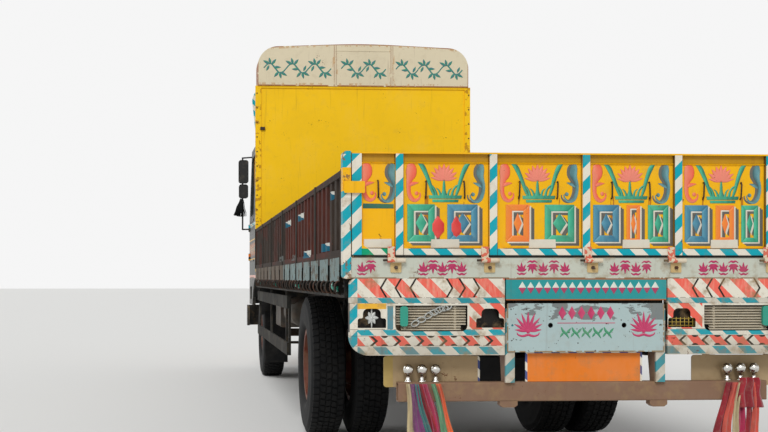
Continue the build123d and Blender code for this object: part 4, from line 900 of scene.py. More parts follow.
def brick(low, high):
    """A plain bar between two corners, for brackets and straps."""
    relief = Relief()
    (x0, y0, z0), (x1, y1, z1) = low, high
    rings = [[(x, y, z) for x, y in ((x0, y0), (x1, y0), (x1, y1), (x0, y1))] for z in (z0, z1)]
    relief.skin(rings, [[(0.5, 0.5)] * 4] * 2, smooth=False)
    return relief.result("brick")


def eased(piece, width=0.0012):
    """A small round on every sharp edge."""
    bevel = piece.modifiers.new("eased", "BEVEL")
    bevel.width, bevel.segments = width, 2
    bevel.limit_method, bevel.angle_limit = "ANGLE", math.radians(50)
    return piece


print("relief and dressing ready")

# %% [markdown]
# What repeats is set out by Geometry Nodes. A mesh of bare points says where each copy goes and how it is
# turned, and one tree puts a motif on every point, with a small seeded wobble where a hand would have
# wavered. The tree ends in Realize Instances and Set Material, and its result is taken as a plain mesh, so no
# modifier is left.

# %% One tree that repeats a motif on points
def build_repeat_tree():
    tree = bpy.data.node_groups.new("repeat_on_points", "GeometryNodeTree")
    sockets = (("Points", "Geometry"), ("Motif", "Object"), ("Size", "Float"), ("Size spread", "Float"),
               ("Turn spread", "Vector"), ("Seed", "Int"), ("Finish", "Material"))
    for label, kind in sockets:
        tree.interface.new_socket(label, in_out="INPUT", socket_type="NodeSocket" + kind)
    tree.interface.new_socket("Geometry", in_out="OUTPUT", socket_type="NodeSocketGeometry")
    t = Tree(tree)
    given = t.node("NodeGroupInput").outputs
    motif = t.node("GeometryNodeObjectInfo", values={"Object": given["Motif"]}).outputs["Geometry"]
    turn = t.node("GeometryNodeInputNamedAttribute", {"data_type": "FLOAT_VECTOR"},
                  {"Name": "turn"}).outputs[0]
    wobble = t.node("FunctionNodeRandomValue", {"data_type": "FLOAT_VECTOR"},
                    {0: (-1, -1, -1), 1: (1, 1, 1), "Seed": given["Seed"]}).outputs[0]
    lean = t.node("ShaderNodeVectorMath", {"operation": "MULTIPLY"},
                  {0: wobble, 1: given["Turn spread"]}).outputs[0]
    turned = t.node("ShaderNodeVectorMath", {"operation": "ADD"}, {0: turn, 1: lean}).outputs[0]
    change = t.node("FunctionNodeRandomValue", {"data_type": "FLOAT"},
                    {2: -1.0, 3: 1.0, "Seed": given["Seed"]}).outputs[1]
    size = Value(t, given["Size"]) * (Value(t, change) * Value(t, given["Size spread"]) + 1)
    copies = t.node("GeometryNodeInstanceOnPoints", values={
        "Points": given["Points"], "Instance": motif, "Rotation": turned, "Scale": size}).outputs[0]
    whole = t.node("GeometryNodeRealizeInstances", values={0: copies}).outputs[0]
    painted = t.node("GeometryNodeSetMaterial", values={0: whole, "Material": given["Finish"]}).outputs[0]
    t.node("NodeGroupOutput", values={0: painted})
    return tree


repeat_tree = build_repeat_tree()


def repeat(name, motif, places, body, finish, material_slot=None, **inputs):
    """Copies of a motif at (x, y, z) places, or at (place, turn) pairs, as one mesh that rides a body."""
    pairs = [place if len(place) == 2 else (place, (0, 0, 0)) for place in places]
    points = bpy.data.meshes.new(name + "_points")
    points.from_pydata([place for place, turn in pairs], [], [])
    turns = points.attributes.new("turn", "FLOAT_VECTOR", "POINT")
    turns.data.foreach_set("vector", [value for place, turn in pairs for value in turn])
    holder = put(name + "_holder", points)
    pattern = put(name + "_motif", motif.result(name) if isinstance(motif, Relief) else motif)
    modifier = holder.modifiers.new("repeat", "NODES")
    modifier.node_group = repeat_tree
    wanted = {"Motif": pattern, "Size": 1.0, "Size spread": 0.0, "Turn spread": (0.0, 0.0, 0.0), "Seed": 1,
              "Finish": finish}
    wanted.update({label.replace("_", " ").capitalize(): value for label, value in inputs.items()})
    for socket in repeat_tree.interface.items_tree:
        if socket.in_out == "INPUT" and socket.name in wanted:
            modifier[socket.identifier] = wanted[socket.name]
    mesh = evaluated(holder, preserve_all_data_layers=True)
    for made in (holder, pattern):
        bpy.data.objects.remove(made)
    return dress(name, mesh, body, None)


print("repeat tree has", len(repeat_tree.nodes), "nodes")

# %% [markdown]
# Each CAD node now gets its finish from one table. A node that someone would paint is painted, and a node
# that is cast, forged or moulded looks so. Nodes of one finish share one material.

# %% One table of finishes for the CAD nodes
chassis_paint = dull_metal("chassis_black", colour(36, 35, 34), metallic=0.1, rust=0.5, dust=0.35)
iron = dull_metal("cast_iron", colour(66, 60, 54), rust=0.6, dust=0.6)
tyre_rubber = rubber("tyre_rubber")
thread = rubber("tassel_thread", dusty=0.1)
rim_paint = worn_paint("rim_brown", colour(112, 52, 40), rust=0.5, dust=0.6, dirt=0.5)
chrome = shiny("chrome", colour(214, 212, 206))
black_plastic = moulded("black_plastic", colour(30, 30, 30))
seat_hide = leather("seat_hide", colour(112, 42, 30))

finishes = {
    "fuel_tank": dull_metal("tank_grey", colour(120, 118, 112), metallic=0.3, rust=0.3, dust=0.7),
    "chassis_boxes": dull_metal("box_grey", colour(84, 80, 74), metallic=0.2, rust=0.4, dust=0.7),
    "exhaust": dull_metal("exhaust_rust", colour(104, 74, 54), metallic=0.5, rust=0.9, dust=0.5),
    "lamp_grilles": dull_metal("louvre_cream", colour(216, 206, 184), rough=0.5, metallic=0.1, rust=0.4,
                               dust=0.3),
    "cab_floor": dull_metal("floor_steel", colour(90, 84, 76), rust=0.2, dust=0.3),
    "spare_wheel": rubber("spare_tyre", rim=spare_pattern),
    "front_mudguards": rubber("mudguard_black", dusty=0.8),
    "deck_floor": planks("deck_planks"),
    "marker_lamps": lens("lens_green", LENS_GREEN),
    "windscreen": clear_glass("windscreen_glass"),
    "front_grille": shiny("grille_bright", colour(170, 168, 162), rough=0.3),
    "dashboard": moulded("dash_black", colour(38, 38, 38)),
    "streamers": cloth_tones["red"],
}
enamels = (  # names of the nodes, name of the paint, its base colour, its pattern, its wear
    # the underframe's and the guards' dark steel tones are darkened further as painted shade, for the shade
    # under the deck
    ("underframe", "underframe_brown", (26, 27, 26), None, dict(rust=0.3, dust=0.15, rough=0.8)),
    ("side_guards", "guard_grey", (22, 24, 23), None, dict(rust=0.3, dust=0.15, rough=0.8)),
    # the side walls' tones are red oxide paint, darkened partly as painted shade
    ("side_wall_left side_wall_right", "wall_red_oxide", (48, 38, 31), wall_pattern,
     dict(rust=0.3, dust=0.05, rough=0.8, fade=0.03, dirt=0.05)),
    ("headboard", "headboard_yellow", (255, 204, 16), headboard_pattern,
     dict(rust=0.3, dust=0.06, fade=0.05, dirt=0.1)),
    ("header_box", "header_cream", (226, 214, 184), header_pattern,
     dict(rust=0.4, dust=0.06, fade=0.05, dirt=0.15)),
    ("rear_frame", "beam_grey", (196, 200, 186), rear_frame_pattern,
     dict(rust=0.4, dust=0.15, fade=0.1, dirt=0.7)),
    ("tailgate", "tail_yellow", (246, 184, 14), tailgate_pattern,
     dict(rust=0.3, dust=0.05, rough=0.36, fade=0.05, dirt=0.25)),
    ("lamp_boards", "board_stripes", (230, 224, 208), lamp_board_pattern,
     dict(rust=0.4, dust=0.14, fade=0.08, dirt=0.9)),
    ("centre_board", "sign_teal", (40, 150, 152), sign_pattern, dict(rust=0.3, dust=0.1)),
    ("centre_plate", "plate_blue", (172, 192, 192), centre_plate_pattern,
     dict(rust=0.35, dust=0.1, fade=0.06)),
    ("rear_plates", "plate_orange", (186, 160, 96), rear_plates_pattern, dict(rust=0.25, dust=0.1, dirt=0.4)),
    ("rear_bumper", "bumper_brown", (132, 102, 82), bumper_pattern,
     dict(rust=0.3, dust=0.2, rough=0.5, dirt=0.6)),
    ("cab_front cab_back cab_sides door_left door_right", "cab_yellow", (240, 172, 26), cab_pattern,
     dict(rust=0.15, dust=0.35, rough=0.32)),
    ("cab_roof", "roof_cream", (206, 196, 164), None, dict(rust=0.3, dust=0.3)),
    ("roof_rack", "rack_blue", (70, 90, 112), None, dict(rust=0.4, dust=0.3)),
    ("crown_board", "crown_sunburst", (244, 190, 46), crown_pattern, dict(rust=0.2, dust=0.1)),
    ("front_bumper", "front_bumper_striped", (46, 46, 45), front_bumper_pattern,
     dict(rust=0.3, dust=0.3, dirt=0.5)),
)
for names, paint, tone, pattern, wear in enamels:
    finish = worn_paint(paint, colour(*tone), pattern=pattern, **wear)
    finishes.update(dict.fromkeys(names.split(), finish))
for finish, names in (
        (chassis_paint, "chassis_frame leaf_springs propeller_shaft"),
        (iron, "front_axle_beam rear_axle_housing knuckle_left knuckle_right tie_rod engine_block"),
        (chrome, "bumper_balls front_lamps"), (black_plastic, "steering_wheel mirrors"),
        (rim_paint, "front_rim_left front_rim_right rear_rims_left rear_rims_right"),
        (tyre_rubber, "front_tyre_left front_tyre_right rear_tyres_left rear_tyres_right"),
        (seat_hide, "seats"), (thread, "mirror_tassels")):
    finishes.update(dict.fromkeys(names.split(), finish))
for name, node in nodes.items():
    for material_slot in node.material_slots:
        material_slot.material = finishes[name]
print("nodes painted", len(nodes))

# %% [markdown]
# The lamp boards are cut from steel sheet: two domed openings for lamps and one for the louvre, over a
# backing plate that their finish paints near-black as the shade inside the openings. They are set out here
# from the photograph, where the outer openings lie further out than in the CAD boards, which these replace.
# The plates under them, their straps, and the polished balls on turned feet are set out in the same way.

# %% Lamp boards, plates and balls
board_outer, board_inner, board_foot = 1.225, 0.427, 0.793
arch_low, arch_top = 0.933, 1.031


def arch(x, half=0.073, neck=0.046, shoulder=0.049):
    """A lamp opening: a box with a narrower dome over it."""
    side = arch_top - shoulder
    return rounded([(x - half, arch_low), (x + half, arch_low), (x + half, side), (x + neck, side),
                    (x + neck, arch_top), (x - neck, arch_top), (x - neck, side), (x - half, side)],
                   (0.003, 0.003, 0.012, 0.008, 0.026, 0.026, 0.008, 0.012))


louvre_low, louvre_top = louvre_opening
outline = rounded(box_outline(-board_outer, -board_inner, board_foot, beam_bottom),
                  (0.095, 0.004, 0.004, 0.030), 10)
openings = [arch(-1.112), arch(-0.502),
            rounded(box_outline(-0.992, -0.620, louvre_low, louvre_top), (0.030, 0.030, 0.004, 0.004))]
layers = []
for sign in (1, -1):
    sided = [[(sign * x, z) for x, z in line] for line in (outline, *openings)]
    layers.append(cut_plate(sided[0], sided[1:], rear_face, 0.0385))
    layers.append(cut_plate(sided[0], [], rear_face + 0.038, 0.017))
boards = dress("lamp_boards_cut", joined("lamp_boards_cut", layers), "chassis", finishes["lamp_boards"])
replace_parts(eased(boards), "lamp_boards")

plate_thick, strap_wide, strap_top = 0.006, 0.040, 0.794
corners = box_outline(-orange_half, orange_half, bumper_top + 0.001, orange_top)
plates = [cut_plate(rounded(corners, (0.001, 0.001, 0.008, 0.008)), [], rear_face + 0.040, plate_thick)]
for x0, x1 in ((-1.034, -0.529), (0.600, 1.090)):
    hung = rounded(box_outline(x0, x1, 0.622, 0.783), (0.016,) * 4)
    plates.append(cut_plate(hung, [], rear_face + 0.104, plate_thick))
    for x in (x0 + 0.060, x1 - 0.100):
        plates.append(brick((x, rear_face + 0.050, 0.788), (x + strap_wide, rear_face + 0.107, strap_top)))
        plates.append(brick((x, rear_face + 0.1085, 0.740), (x + strap_wide, rear_face + 0.113, strap_top)))
hung_plates = dress("rear_plates_cut", joined("rear_plates_cut", plates), "chassis", finishes["rear_plates"])
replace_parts(eased(hung_plates, 0.001), "rear_plates")

ball = Relief()
foot = [(0.0215, 0.0), (0.0215, 0.004), (0.017, 0.009), (0.011, 0.020), (0.0085, 0.036)]
ball_radius, ball_height = 0.029, 0.063
rise = [math.radians(-72 + 13.5 * i) for i in range(12)]
ball_profile = foot + [(ball_radius * math.cos(a), ball_height + ball_radius * math.sin(a)) for a in rise]
ball.skin([[(r * math.cos(math.tau * k / 28), r * math.sin(math.tau * k / 28), z) for k in range(28)]
           for r, z in ball_profile], [[(0.5, 0.5)] * 28] * len(ball_profile))
outer_ball, ball_pitch = 0.915, 0.072
ball_places = [(sign * (outer_ball - ball_pitch * i), rear_face + 0.064, bumper_top)
               for sign in (-1, 1) for i in range(3)]
balls = repeat("bumper_balls_turned", ball, ball_places, "chassis", chrome, "ball_chrome", seed=2)
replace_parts(balls, "bumper_balls")
print("board openings", len(openings), "a side; balls", len(ball_places))

# %% [markdown]
# Every tail panel carries the same painting: a salmon plume on the left, a grey-blue one with a dark shadow
# on the right, and between them a lotus over a leafy crown. On such trucks it is pounced through one pricked
# paper and then painted freehand. Here each colour is one motif, drawn once as strokes around the panel's
# centre line and top edge, and the repeat tree sets it in all four panels, with a slight wobble.

# %% Tail ornaments: plumes
corner_centre = (half_tail - tail_frame + 2 * post_pitch + post_half) / 2
motif_top, motif_size = tail_top + 0.0065, 0.985
in_panels = [(x + 0.005, tail_back, motif_top) for x in panel_centres]
salmon_in_corners = [(x - 0.035 + 0.16, tail_back, motif_top) for x in (-corner_centre, corner_centre)]
blue_in_corners = [(x + 0.055 - 0.16, tail_back, motif_top) for x in (-corner_centre, corner_centre)]


def on_tail(name, relief, places, seed, finish, wobble=0.012):
    """Sets a motif in the tail's panels, slightly smaller than it was drawn, each copy with its own turn."""
    repeat(name, relief, places, "tailgate", finish, "tail_paint", size=motif_size, seed=seed,
           turn_spread=(0, wobble, 0))


salmon_plume = ((-0.198, -0.064, 0.030), (-0.188, -0.086, 0.056), (-0.188, -0.117, 0.058),
                (-0.196, -0.143, 0.038), (-0.201, -0.166, 0.027), (-0.202, -0.193, 0.024),
                (-0.199, -0.219, 0.023), (-0.188, -0.242, 0.026), (-0.169, -0.254, 0.020),
                (-0.149, -0.245, 0.014), (-0.141, -0.227, 0.009), (-0.144, -0.213, 0.006))
blue_plume = ((0.184, -0.064, 0.023), (0.178, -0.086, 0.043), (0.176, -0.117, 0.043), (0.184, -0.143, 0.030),
              (0.192, -0.166, 0.023), (0.194, -0.193, 0.021), (0.190, -0.219, 0.021), (0.179, -0.245, 0.023),
              (0.161, -0.258, 0.018), (0.140, -0.254, 0.012), (0.127, -0.238, 0.009), (0.126, -0.222, 0.006))


def plume(line, barb, eye):
    """A curled stroke with a short barb inside it and a round eye at its tip, from (x, z, width) points."""
    relief = Relief()
    relief.stroke(line, 0.003, 4)
    relief.stroke(barb, 0.0035)
    relief.dome(*eye, 0.0105, 0.004)
    return relief


salmon = plume(salmon_plume, [(-0.196, -0.179, 0.008), (-0.179, -0.167, 0.020), (-0.149, -0.162, 0.003)],
               (-0.160, -0.217))
on_tail("tail_salmon_plumes", salmon, in_panels + salmon_in_corners, 3,
        brushwork("salmon_strokes", PINK, colour(240, 98, 70), line=ORANGE))

shadow = Relief()
shadow.stroke([(x - 0.014, z - 0.002, w) for x, z, w in blue_plume], 0.0012, 4)
on_tail("tail_plume_shadows", shadow, in_panels + blue_in_corners, 4,
        brushwork("shadow_grey", SHADE_GREY, SHADE_GREY))
blue = plume(blue_plume, [(0.187, -0.184, 0.008), (0.169, -0.170, 0.020), (0.140, -0.161, 0.003)],
             (0.140, -0.221))
on_tail("tail_blue_plumes", blue, in_panels + blue_in_corners, 4,
        brushwork("blue_strokes", colour(58, 96, 100), colour(112, 168, 176)))
print("plumes on", len(in_panels), "panels and two corners")

# %% Tail ornaments: crown and lotus
crown = Relief()
for leaf in (((-0.152, -0.061, 0.006), (-0.129, -0.077, 0.026), (-0.109, -0.117, 0.024),
              (-0.091, -0.162, 0.021), (-0.076, -0.204, 0.018), (-0.064, -0.232, 0.011)),
             ((0.122, -0.061, 0.006), (0.102, -0.077, 0.026), (0.084, -0.117, 0.024),
              (0.070, -0.162, 0.021), (0.058, -0.204, 0.018), (0.047, -0.232, 0.011)),
             ((-0.014, -0.143, 0.006), (-0.014, -0.174, 0.015), (-0.014, -0.204, 0.020),
              (-0.014, -0.235, 0.043)),
             ((-0.094, -0.175, 0.003), (-0.079, -0.179, 0.011), (-0.062, -0.200, 0.012),
              (-0.052, -0.235, 0.018)),
             ((0.067, -0.175, 0.003), (0.052, -0.179, 0.011), (0.035, -0.200, 0.012), (0.026, -0.235, 0.018)),
             ((-0.055, -0.191, 0.003), (-0.043, -0.200, 0.009), (-0.035, -0.216, 0.012),
              (-0.030, -0.235, 0.015)),
             ((0.027, -0.191, 0.003), (0.015, -0.200, 0.009), (0.009, -0.216, 0.012),
              (0.005, -0.235, 0.015))):
    crown.stroke(leaf, 0.0028, 4)
for low, high, left, right in ((-0.2455, -0.228, -0.092, 0.077), (-0.2635, -0.2495, -0.074, 0.060)):
    crown.tile([(left, low), (right, low), (right + 0.003, high), (left - 0.003, high)], 0.004, 0.003)
on_tail("tail_crowns", crown, in_panels, 5,
        brushwork("crown_strokes", LEAF_GREEN, colour(28, 112, 92), edge=0.40), 0.01)


def fan(relief, x, z, petals, width, height):
    """Petals that open from one root, in pairs to the left and right; one at 0 degrees stands alone."""
    for degrees, length in petals:
        for side in (-1, 1) if degrees else (1,):
            relief.petal(x, z, side * degrees, length, width, height)


lotus = Relief()
for degrees, length, width in ((78, 0.070, 0.020), (58, 0.080, 0.026), (38, 0.082, 0.028), (19, 0.084, 0.030),
                               (0, 0.086, 0.030)):
    fan(lotus, -0.014, -0.150, [(degrees, length)], width, 0.0022 + 0.00002 * (80 - degrees))
lotus_mesh = lotus.result("lotus")
lotus_finish = brushwork("lotus_strokes", colour(238, 128, 112), PINK, line=colour(214, 84, 70), edge=0.36)
on_tail("tail_lotuses", lotus_mesh, in_panels, 6, lotus_finish, 0.02)

bar = Relief(tail_back)
bar_foot, bar_top = tail_top - 0.286, tail_top - 0.264
for sign in (-1, 1):
    inner, outer = sign * 0.997, sign * 1.155
    bar.tile([(outer, bar_foot), (inner, bar_foot), (inner, bar_top), (outer, bar_top + 0.003)], 0.003, 0.002)
dress("tail_corner_bars", bar, "tailgate", brushwork("bar_green", DARK_GREEN, colour(52, 110, 84)))
print("crowns and lotuses on", len(in_panels), "panels")

# %% [markdown]
# Under the lotuses runs a row of framed lozenges: a face in green, blue or orange, a cream edge to its right
# and below, and a deep grey shadow beyond that. The layers are the same outlines, moved and raised. Two red
# lozenges and a few pale patches lie over them.

# %% Tail ornaments: framed lozenges
smallest_lozenge, lozenge_reach = 0.008, 0.052


def framed_lozenge(relief, x0, x1, z0, z1, height, shift=(0, 0)):
    """Four mitred bars round a pointed lozenge."""
    x0, x1, z0, z1 = x0 + shift[0], x1 + shift[0], z0 + shift[1], z1 + shift[1]
    bar = min(0.034, (x1 - x0) * 0.26)
    outside, inside = box_outline(x0, x1, z0, z1), box_outline(x0 + bar, x1 - bar, z0 + bar, z1 - bar)
    for i, k in ((2, 3), (0, 1), (3, 0), (1, 2)):
        relief.tile([outside[i], outside[k], inside[k], inside[i]], height)
    middle_x, middle_z, half = (x0 + x1) / 2, (z0 + z1) / 2, (x1 - x0) / 2 - bar * 1.25
    if half > smallest_lozenge:
        relief.tile([(middle_x - half, middle_z), (middle_x, middle_z - lozenge_reach),
                     (middle_x + half, middle_z), (middle_x, middle_z + lozenge_reach)], height)


tile_low, tile_high = tail_top - 0.455, tail_top - 0.264
tile_spans = {
    "green": ((-0.927, -0.785), (-0.213, -0.058), (0.330, 0.438), (0.826, 0.916)),
    "blue": ((-0.720, -0.563), (0.041, 0.177), (0.525, 0.648)),
    "orange": ((-0.416, -0.293), (0.217, 0.288), (0.690, 0.787)),
}
tile_tones = {"green": (LEAF_GREEN, colour(34, 142, 112)), "blue": (BLOCK_BLUE, colour(48, 112, 140)),
              "orange": (ORANGE, colour(240, 122, 48))}
shadows, edges = Relief(tail_back), Relief(tail_back)
for tone, spans in tile_spans.items():
    faces = Relief(tail_back)
    for x0, x1 in spans:
        framed_lozenge(shadows, x0, x1, tile_low, tile_high, 0.0010, (0.026, -0.020))
        framed_lozenge(shadows, x0, x1, tile_low, tile_high, 0.0012, (0.018, -0.014))
        framed_lozenge(edges, x0, x1, tile_low, tile_high, 0.0026, (0.009, -0.007))
        framed_lozenge(faces, x0, x1, tile_low, tile_high, 0.0050)
    dress(f"tail_{tone}_tiles", faces, "tailgate",
          brushwork(f"tile_{tone}", *tile_tones[tone], line=tile_tones[tone][1], edge=0.40))
dress("tail_tile_shadows", shadows, "tailgate", brushwork("tile_shadow", SHADE_GREY, colour(88, 86, 80)))
dress("tail_tile_edges", edges, "tailgate", brushwork("tile_edge", CHALK, colour(214, 206, 188), line=CREAM))

reds = Relief(tail_back)
for x0, x1 in ((-0.802, -0.737), (-0.703, -0.646)):
    middle = (x0 + x1) / 2
    reds.tile([(x0, 1.466), (x0, 1.427), (middle, 1.388), (x1, 1.427), (x1, 1.466), (middle, 1.505)],
              0.0066, 0.010)
dress("tail_red_lozenges", reds, "tailgate",
      brushwork("lozenge_red", BLOCK_RED, colour(206, 48, 46), line=colour(200, 60, 50)))

patches = Relief(tail_back)
for x0, x1 in ((-1.152, -1.007), (-0.806, -0.657), (-0.296, -0.155), (0.195, 0.339), (0.662, 0.808),
               (1.007, 1.152)):
    patches.tile([(x0, 1.340), (x1, 1.341), (x1 - 0.002, 1.3865), (x0 + 0.001, 1.385)], 0.0060, 0.0012)
dress("tail_pale_patches", patches, "tailgate",
      worn_paint("patch_chalk", colour(222, 216, 200), rust=0.1, dust=0.5))
print("framed lozenges", sum(len(spans) for spans in tile_spans.values()))

# %% [markdown]
# Two iron lashing hooks stand in each panel. A hook is one bent rod, so it is one short tube along a bent
# line, and the repeat tree sets a pair in each panel. Rust has run down from each of them.

# %% Lashing hooks and small ironwork on the tail
def tube(line, radius, sides=8, taper=None, loop=False):
    """A tube along a line of points, as a mesh; taper gives the radius share at each, loop joins the ends."""
    relief = Relief()
    rings = []
    side = Vector((1, 0, 0))
    for i, point in enumerate(line):
        after = line[(i + 1) % len(line)] if loop else line[min(i + 1, len(line) - 1)]
        before = line[i - 1] if loop else line[max(i - 1, 0)]
        along = (Vector(after) - Vector(before)).normalized()
        side = (side - along * side.dot(along))
        if side.length < 0.1:
            side = Vector((0, 1, 0)) - along * along.y
        side.normalize()
        up = along.cross(side)
        size = radius * (taper[i] if taper else 1)
        rings.append([Vector(point) + (side * math.cos(a) + up * math.sin(a)) * size
                      for a in (math.tau * k / sides for k in range(sides))])
    marks = [[(k / sides, i / len(rings)) for k in range(sides)] for i in range(len(rings))]
    relief.skin(rings, marks, loop=loop)
    return relief.result("tube")


hook = tube([(0, 0, 0.044), (0, -0.008, 0.046), (0, -0.013, 0.036), (0, -0.013, 0.0), (0, -0.012, -0.030),
             (0, -0.006, -0.040), (0, 0, -0.040)], 0.0042, 6)
black_iron = dull_metal("hook_iron", colour(46, 38, 32), rough=0.55, metallic=0.4, rust=0.7, dust=0.3)
hook_places = [(x + side, tail_recess, tail_top - 0.192) for x in panel_centres for side in (-0.105, 0.094)]
hook_places += [(x, tail_recess, tail_top - 0.19) for x in (-1.078, 1.078)]
repeat("tail_hooks", hook, hook_places, "tailgate", black_iron, "tail_paint", seed=8,
       turn_spread=(0, 0.05, 0))
print("tail hooks", len(hook_places))

# %% [markdown]
# Magenta palmettes run along the beam under the tail, between its hinges: one motif, turned up and down by
# turns. The sign board has a row of lozenges, pale above and magenta below, and the plate has two magenta
# shells with a wave of leaves between them.

# %% Beam palmettes and the sign's lozenges
palmette = Relief()
fan(palmette, 0, -0.016, ((64, 0.026), (32, 0.036), (0, 0.042)), 0.0125, 0.0018)
palmette.stroke([(-0.022, -0.022, 0.003), (-0.010, -0.029, 0.008), (0, -0.026, 0.010), (0.010, -0.029, 0.008),
                 (0.022, -0.022, 0.003)], 0.0016, 4)
beam_middle = (beam_bottom + deck_z) / 2 - 0.001
beam_places = []
palmette_pitch = 0.052
for x0, x1 in ((-1.185, -1.095), (-0.872, -0.626), (-0.368, -0.086), (0.118, 0.343), (0.589, 0.855),
               (1.082, 1.172)):
    count = max(2, round((x1 - x0) / palmette_pitch))
    for i in range(count):
        x = x0 + (x1 - x0) * (i + 0.5) / count
        beam_places.append(((x, rear_face + seating, beam_middle), (0, math.pi * (i % 2), 0)))
repeat("beam_palmettes", palmette, beam_places, "chassis",
       brushwork("magenta_strokes", colour(196, 44, 96), colour(160, 34, 84), line=colour(140, 30, 70)),
       "beam_paint", size=1.16, seed=11, turn_spread=(0, 0.03, 0), size_spread=0.04)

sign_face, sign_middle = sign_low.y, 1.137
sign_places = [(-0.335 + 0.0435 * i, sign_face + seating, sign_middle) for i in range(17)]
sign_pale = brushwork("sign_pale", CHALK, colour(210, 222, 210), line=CREAM)
sign_magenta = brushwork("sign_magenta", MAGENTA, colour(160, 60, 92), line=MAGENTA)
for half, tip, finish in (("upper", 0.031, sign_pale), ("lower", -0.031, sign_magenta)):
    triangle = Relief()
    triangle.tile([(-0.019, 0.0), (0.019, 0.0), (0, tip)], 0.0022, 0.003)
    repeat(f"sign_{half}_lozenges", triangle, sign_places, "chassis", finish, "board_paint", seed=12,
           size_spread=0.05)
print("palmettes", len(beam_places), "lozenges", len(sign_places))

# %% Shells, lozenges and leaves on the plate
plate_face = plate_low.y + seating
shells = Relief(plate_face)
for x in (-0.303, 0.303):
    fan(shells, x, 0.914, ((84, 0.070), (63, 0.082), (42, 0.092), (21, 0.098), (0, 0.100)), 0.017, 0.0018)
    shells.dome(x, 0.914, 0.011, 0.003)
    for side in (-1, 1):
        shells.stroke([(x, 0.897, 0.014), (x + side * 0.028, 0.889, 0.012), (x + side * 0.052, 0.896, 0.008),
                       (x + side * 0.058, 0.907, 0.004)][::side], 0.002, 4)
for i in range(6):
    x = -0.125 + 0.0505 * i
    shells.tile([(x - 0.020, 1.007), (x, 0.972), (x + 0.020, 1.007), (x, 1.042)], 0.002, 0.003)
shells.tile(box_outline(-0.150, 0.152, 0.9535, 0.9575), 0.0012, 0.0008)
dress("plate_shells", shells, "chassis",
      brushwork("plate_magenta", MAGENTA, colour(200, 70, 110), line=colour(150, 30, 80)))

leaves = Relief(plate_face)
for i in range(5):
    x = -0.108 + 0.056 * i
    leaves.stroke([(x - 0.022, 0.934, 0.005), (x - 0.012, 0.914, 0.014), (x + 0.004, 0.899, 0.013),
                   (x + 0.018, 0.877, 0.004)], 0.0016, 4)
    leaves.petal(x + 0.006, 0.902, 40, 0.036, 0.013, 0.0018)
    leaves.petal(x - 0.010, 0.909, 215, 0.032, 0.012, 0.0018)
dress("plate_leaves", leaves, "chassis",
      brushwork("plate_green", colour(36, 128, 92), colour(84, 160, 116), line=DARK_GREEN))
print("plate ornaments placed")

# %% [markdown]
# Strips of bright cloth are tied over both ends of the bumper to sweep off dust and ill luck. Each strip was
# cut flat, then tied up tight at its top, and opens as it falls. Across each row it is a sine wave whose arc
# stays the flat width: the less the row reaches across, the deeper its folds. Every strip is its own sheet.

# %% Bumper streamers
def fold_slope(fullness):
    """The steepest slope of a sine fold whose arc is longer than its reach by the given share."""
    low, high = 0.0, 12.0
    for _ in range(30):
        middle = (low + high) / 2
        arc = sum(math.hypot(1, middle * math.cos(math.tau * (i + 0.5) / 40)) for i in range(40)) / 40
        low, high = (middle, high) if arc < fullness else (low, middle)
    return (low + high) / 2


def streamer(name, top, middle, bottom, flat_width, tone, folds, gather, phase):
    """A strip through three places; gather is the share of its width that it spans at its top and its hem."""
    rows, columns = 26, 8 * max(1, round(folds * 1.5))
    made = bmesh.new()
    uv = made.loops.layers.uv.new("flat")
    grid = []
    for row in range(rows + 1):
        v = row / rows
        line = [start * (1 - v) * (1 - v) + (4 * half_way - start - end) * v * (1 - v) + end * v * v
                for start, half_way, end in zip(top, middle, bottom)]
        sway = 0.006 * math.sin(7 * v + phase)
        reach = flat_width * (gather[0] + (gather[1] - gather[0]) * v)
        depth = fold_slope(flat_width / reach) * reach / (math.tau * folds)
        grid.append([])
        for column in range(columns + 1):
            u = column / columns
            wave = depth * math.sin(math.tau * folds * u + phase + 0.8 * v)
            grid[-1].append(made.verts.new((line[0] + sway + reach * (u - 0.5), line[1] + wave, line[2])))
    length = sum((grid[row + 1][0].co - grid[row][0].co).length for row in range(rows))
    for row in range(rows):
        for column in range(columns):
            corners = ((row, column), (row, column + 1), (row + 1, column + 1), (row + 1, column))
            face = made.faces.new([grid[r][c] for r, c in corners])
            face.smooth = True
            for loop, (r, c) in zip(face.loops, corners):
                loop[uv].uv = (c / columns * flat_width, r / rows * length)
    mesh = bpy.data.meshes.new(name)
    made.to_mesh(mesh)
    made.free()
    mesh.flip_normals()
    piece = dress(name, mesh, "chassis", tone)
    solid = piece.modifiers.new("thickness", "SOLIDIFY")
    solid.thickness, solid.offset = 0.0012, 0.0
    return piece, (flat_width, length)


cloth_low, cloth_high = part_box("streamers")
cloth_y, cloth_top = cloth_high.y - 0.012, cloth_high.z
layer_gap, hem_step = 0.007, 0.018
left_strips = (  # tone, x at the top, x half way, x at the hem, flat width
    ("tan", -0.918, -0.902, -0.872, 0.070), ("purple", -0.905, -0.865, -0.815, 0.078),
    ("teal", -0.884, -0.828, -0.782, 0.046), ("red", -0.862, -0.800, -0.752, 0.090),
    ("magenta", -0.832, -0.782, -0.720, 0.070), ("green", -0.798, -0.742, -0.690, 0.046),
    ("orange", -0.772, -0.712, -0.668, 0.052))
right_strips = (("red", 0.765, 0.715, 0.705, 0.080), ("salmon", 0.790, 0.752, 0.742, 0.060),
                ("tan", 0.814, 0.790, 0.778, 0.050), ("magenta", 0.838, 0.826, 0.812, 0.070),
                ("red", 0.862, 0.858, 0.850, 0.060), ("salmon", 0.886, 0.894, 0.886, 0.056))
streamers_made = []
